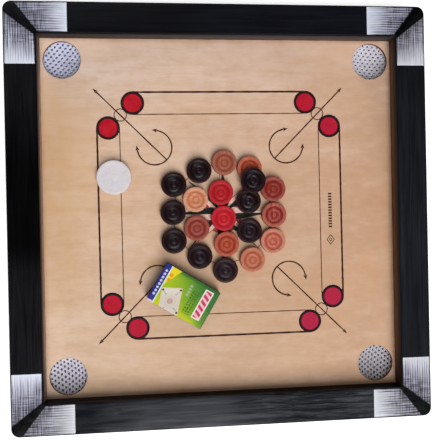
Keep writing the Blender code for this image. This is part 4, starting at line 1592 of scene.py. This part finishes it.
# swatches of the rim, the raised ring and the groove, the groove's with its painted shade
MEN = {
    "man_black_1": ((45, 27, 28), (41, 27, 31), (26, 15, 18)),
    "man_black_2": ((45, 29, 31), (39, 28, 33), (29, 17, 21)),
    "man_black_3": ((45, 28, 30), (40, 30, 35), (31, 20, 25)),
    "man_black_4": ((46, 28, 30), (41, 28, 32), (26, 15, 18)),
    "man_black_5": ((46, 30, 31), (41, 30, 35), (31, 19, 24)),
    "man_black_6": ((52, 35, 36), (47, 36, 41), (36, 24, 29)),
    "man_black_7": ((48, 30, 32), (43, 30, 35), (28, 16, 21)),
    "man_black_8": ((47, 30, 33), (43, 31, 37), (31, 20, 25)),
    "man_black_9": ((41, 24, 27), (35, 23, 31), (25, 12, 19)),
    "man_natural_1": ((202, 146, 119), (199, 130, 95), (182, 108, 74)),
    "man_natural_2": ((150, 77, 66), (151, 76, 67), (120, 44, 36)),
    "man_natural_3": ((152, 92, 73), (155, 88, 71), (134, 64, 46)),
    "man_natural_4": ((169, 88, 71), (173, 80, 60), (142, 46, 29)),
    "man_natural_5": ((178, 98, 76), (168, 74, 48), (142, 54, 32)),
    "man_natural_6": ((180, 113, 91), (190, 112, 87), (160, 82, 59)),
    "man_natural_7": ((150, 77, 68), (144, 56, 50), (118, 34, 28)),
    "man_natural_8": ((164, 91, 78), (161, 73, 65), (122, 34, 26)),
    "man_natural_9": ((188, 124, 104), (190, 106, 90), (165, 76, 60)),
    "queen_1": ((172, 42, 48), (174, 38, 44), (155, 22, 28)),
    "queen_2": ((180, 41, 51), (190, 39, 48), (170, 26, 37)),
}
# slot and lacquer of each kind
KINDS = {
    "man_black": ("man_black", dict(streaks=0.60, coat=0.16, shine=0.42)),
    "man_natural": ("man_natural", dict(gloss=0.42, streaks=1.55, coat=0.10, shine=0.26)),
    "queen": ("queen_red", dict(gloss=0.42, streaks=0.6, coat=0.10, shine=0.24)),
}
for number, (name, swatches) in enumerate(MEN.items()):
    slot, lacquer = KINDS[name.rsplit("_", 1)[0]]
    # the black men's gloss steps through three values
    lacquer = {"gloss": 0.30 + 0.03 * (number % 3), **lacquer}
    rim, ring, deep = (swatch(*values) for values in swatches)
    wood = turned_wood("lacquer_" + name, rim, ring, deep, seed=number + 1.0, **lacquer)
    put(name + "_turned", lathe(man_profile(number), 96), wood, slot, (name,),
        smooth=28.0, body=name, at=foot_of(name))

STRIKER = [
    (0, 0.35), (15.8, 0.35), (16.6, 0.1), (17.4, 0.0),
    *arc(19.4, 1.2, 1.2, -90, 0, 6), (20.65, 4.5), *arc(19.35, 7.7, 1.3, 0, 90, 6),
    (17.6, 9.0), (16.9, 8.98), (16.4, 8.92), (16.0, 8.84), (15.6, 8.80), (14.6, 8.79),
    (9.0, 8.78), (5.2, 8.78), (4.8, 8.74), (4.5, 8.78), (0, 8.78)]
put("striker_moulded", lathe(STRIKER, 144), moulded_white(), "striker_white",
    ("striker",), smooth=30.0, body="striker", at=foot_of("striker"))

# ---- powder carton: a sleeve along its own X, closed at -X and open at +X -----------
CARTON_L, CARTON_W, CARTON_H, CARD = 73.0, 50.0, 18.0, 0.6
CARTON_TURN = math.radians(-31.3)
SLACK = 0.30                       # rise of the top's middle between the folds


def carton_section(inset):
    """(y, z) round the carton, with seven points between the rounded folds."""
    half, low, high = CARTON_W / 2 - inset, inset, CARTON_H - inset
    radius = max(0.9 - inset, 0.35)
    points = []
    for y, z, start in ((half - radius, high - radius, 0), (-half + radius, high - radius, 90),
                        (-half + radius, low + radius, 180),
                        (half - radius, low + radius, 270)):
        points += arc(y, z, radius, start, start + 90, 4)
    out = []
    for here, there in zip(points, points[1:] + points[:1]):
        out.append(here)
        if math.dist(here, there) > 3:
            out += [(here[0] + (there[0] - here[0]) * k / 8,
                     here[1] + (there[1] - here[1]) * k / 8) for k in range(1, 8)]
    return out


def carton_loop(x, inset):
    """The section at x, a little slack between the folds and dented on top."""
    sway = math.cos(math.pi * x / CARTON_L)
    loop = []
    for y, z in carton_section(inset):
        across = 1 - (2 * y / CARTON_W) ** 2
        upright = 1 - ((z - CARTON_H / 2) / (CARTON_H / 2)) ** 2
        if z > CARTON_H * 0.8:
            dent = 0.16 * math.exp(-((x - 9) ** 2 + (y + 4) ** 2) / 60)
            z += SLACK * sway * max(across, 0) - SLACK - dent
        if abs(y) > CARTON_W * 0.46:
            y -= math.copysign(0.22 * sway * max(upright, 0), y)
        loop.append((x, y, z))
    return loop


def shifted(loop, by):
    return [(x + by, y, z) for x, y, z in loop]


def carton_body():
    steps = 26
    stations = [-CARTON_L / 2 + CARTON_L * k / steps for k in range(steps + 1)]
    outer = [carton_loop(x, 0.0) for x in stations]
    inner = [carton_loop(x, CARD) for x in stations[::-1]]
    end = [(x, y * 0.985, CARTON_H / 2 + (z - CARTON_H / 2) * 0.96) for x, y, z in outer[0]]
    outer[0] = shifted(outer[0], 0.55)
    inner[-1] = shifted(inner[-1], CARD + 0.4)
    return loft(bmesh.new(), [end] + outer + inner)


def dust_flap(sign):
    """A small flap folded in from the side wall, just inside the open end."""
    loops = []
    for k in range(9):
        t = k / 8
        y = sign * (CARTON_W / 2 - 1.0 - 17.5 * t)
        x = CARTON_L / 2 - 0.9 - 1.5 * t - 0.5 * math.sin(math.pi * t)
        back = x - 0.45
        cut = 0.5 + 3.0 * max(t - 0.7, 0) / 0.3
        low, high = 1.0 + cut, CARTON_H - 1.6 - cut
        loops.append([(x, y, low), (x, y, high), (back, y, high), (back, y, low)])
    return loft(bmesh.new(), loops)


def end_flap():
    """End flap, hanging from its fold at 0, with rounded lower corners."""
    levels = (-0.35, -3.0, -6.0, -9.0, -12.0, -15.0)
    loops = []
    for k in range(25):
        across = 2 * (k / 24) - 1
        y = (CARTON_W / 2 - 0.5) * across
        edge = abs(across)
        drop = CARTON_H - 0.25 - (2.6 * max(edge - 0.86, 0) / 0.14) ** 1.4
        belly = 0.10 * (1 - edge * edge)
        column = [(0.30, 0.0), *((CARD, z) for z in levels), (CARD, -drop + 0.2),
                  (0.30, -drop), (0.0, -drop + 0.2), *((0.0, z) for z in levels[::-1])]
        loops.append([(x + belly * math.sin(math.pi * min(-z / CARTON_H, 1)) * 0.9, y,
                       max(z, -drop) if z < -14.9 else z) for x, z in column])
    return loft(bmesh.new(), loops)


carton_foot = foot_of("powder_carton")
carton_rotation = (0, 0, CARTON_TURN)
on_carton = dict(smooth=40.0, body="powder_carton", at=carton_foot,
                 rotation=carton_rotation)
put("powder_carton_sleeve", carton_body(), printed_card("card_print"), "printed_card",
    ("powder_carton",), **on_carton)
inside_card = printed_card("card_inside", flap=True)
for label, sign in (("back", 1), ("front", -1)):
    put("powder_carton_dust_flap_" + label, dust_flap(sign), inside_card, "printed_card",
        **on_carton)
along = Vector((math.cos(CARTON_TURN), math.sin(CARTON_TURN), 0))
fold = carton_foot + along * (CARTON_L / 2 + GAP)
fold.z = (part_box("powder_carton_flap")[1] / MM).z
put("powder_carton_flap_card", end_flap(), printed_card("card_flap", flap=True),
    "printed_card", ("powder_carton_flap",), smooth=40.0, body="carton_flap", at=fold,
    rotation=carton_rotation)


# ---- floor, light and camera --------------------------------------------------------
def floor_paint():
    """Pale floor with painted shade under the board, lifted a little where the camera sees it.
    """
    mat = Paint("floor_pale")
    x, y, _ = mat.place
    mottle = mat.noise(0.004)
    in_open = abs(x).larger(abs(y)).ramp(240.0, 252.0)
    pale = mat.mix(mottle.ramp(0.3, 0.7), (0.90,) * 3, (0.93,) * 3)
    seen = mat.make("LightPath", output="Is Camera Ray")
    # painted shade: the floor under the board is a dark blue-grey, seen through the nets
    return mat.finish(Base_Color=mat.mix(in_open, (0.40, 0.41, 0.48), pale),
                      Roughness=0.7, Emission_Color=(1.0, 1.0, 1.0),
                      Emission_Strength=seen * in_open * 0.50)


form = bmesh.new()
bmesh.ops.create_grid(form, x_segments=2, y_segments=2, size=6.0)
mesh = raw_mesh("floor", form)
mesh.materials.append(floor_paint())
add_object("floor", mesh)


def studio_world(diffuse, gloss, seen):
    """Even light: one strength for diffuse light, one for reflections, one when seen."""
    sky = Tree(bpy.data.worlds.new("studio"))
    is_glossy = sky.make("LightPath", output="Is Glossy Ray")
    strength = sky.make("Mix", {0: is_glossy.output("Is Camera Ray"),
                                2: is_glossy.linear(gloss - diffuse, diffuse), 3: seen})
    sky.show("OutputWorld", sky.make("Background", ((1.0, 0.985, 0.97), strength)))
    return sky.owner


bpy.context.scene.world = studio_world(diffuse=0.32, gloss=0.05, seen=0.92)

LIGHT_AIM = Vector((0, 0, 0.02))


def softbox(name, at, size, power, colour=(1, 1, 1), diffuse=True, glossy=True):
    """Rectangular light aimed at the board; at and size are in metres."""
    lamp = bpy.data.lights.new(name, "AREA")
    lamp.shape = "RECTANGLE"
    lamp.size, lamp.size_y = size
    lamp.energy = power
    lamp.color = colour
    obj = add_object(name, lamp)
    obj.location = at
    obj.rotation_euler = (LIGHT_AIM - Vector(at)).to_track_quat("-Z", "Y").to_euler()
    obj.visible_diffuse = diffuse
    obj.visible_glossy = glossy


softbox("key", at=(0.98, -2.96, 4.54), size=(2.6, 5.0), power=345.0, glossy=False)
softbox("window", at=(0.10, -1.65, 2.3), size=(1.8, 0.9), power=17.0, diffuse=False)
softbox("top_glow", at=(-0.5, 1.5, 2.2), size=(1.4, 0.5), power=6.5,
        colour=(0.85, 0.9, 1), diffuse=False)

# the camera looks down from over the board, just left of its middle
CAMERA_AT = (-0.0721, -0.0029, 0.7122)     # metres
CAMERA_TURN = (0.17, 5.31, 1.17)           # world to camera, axis times degrees
camera_data = bpy.data.cameras.new("camera")
camera_data.sensor_width = 36.0
camera_data.lens = 46.17
camera_data.clip_start = 0.01
camera = add_object("camera", camera_data)
axis = Vector([math.radians(value) for value in CAMERA_TURN])
to_camera = Matrix.Rotation(axis.length, 3, axis.normalized())
pose = to_camera.transposed().to_4x4()
pose.translation = Vector(CAMERA_AT)
camera.matrix_world = pose
bpy.context.scene.camera = camera

view = bpy.context.scene.view_settings
view.view_transform = "Standard"
view.look = "None"
view.exposure = 0.0
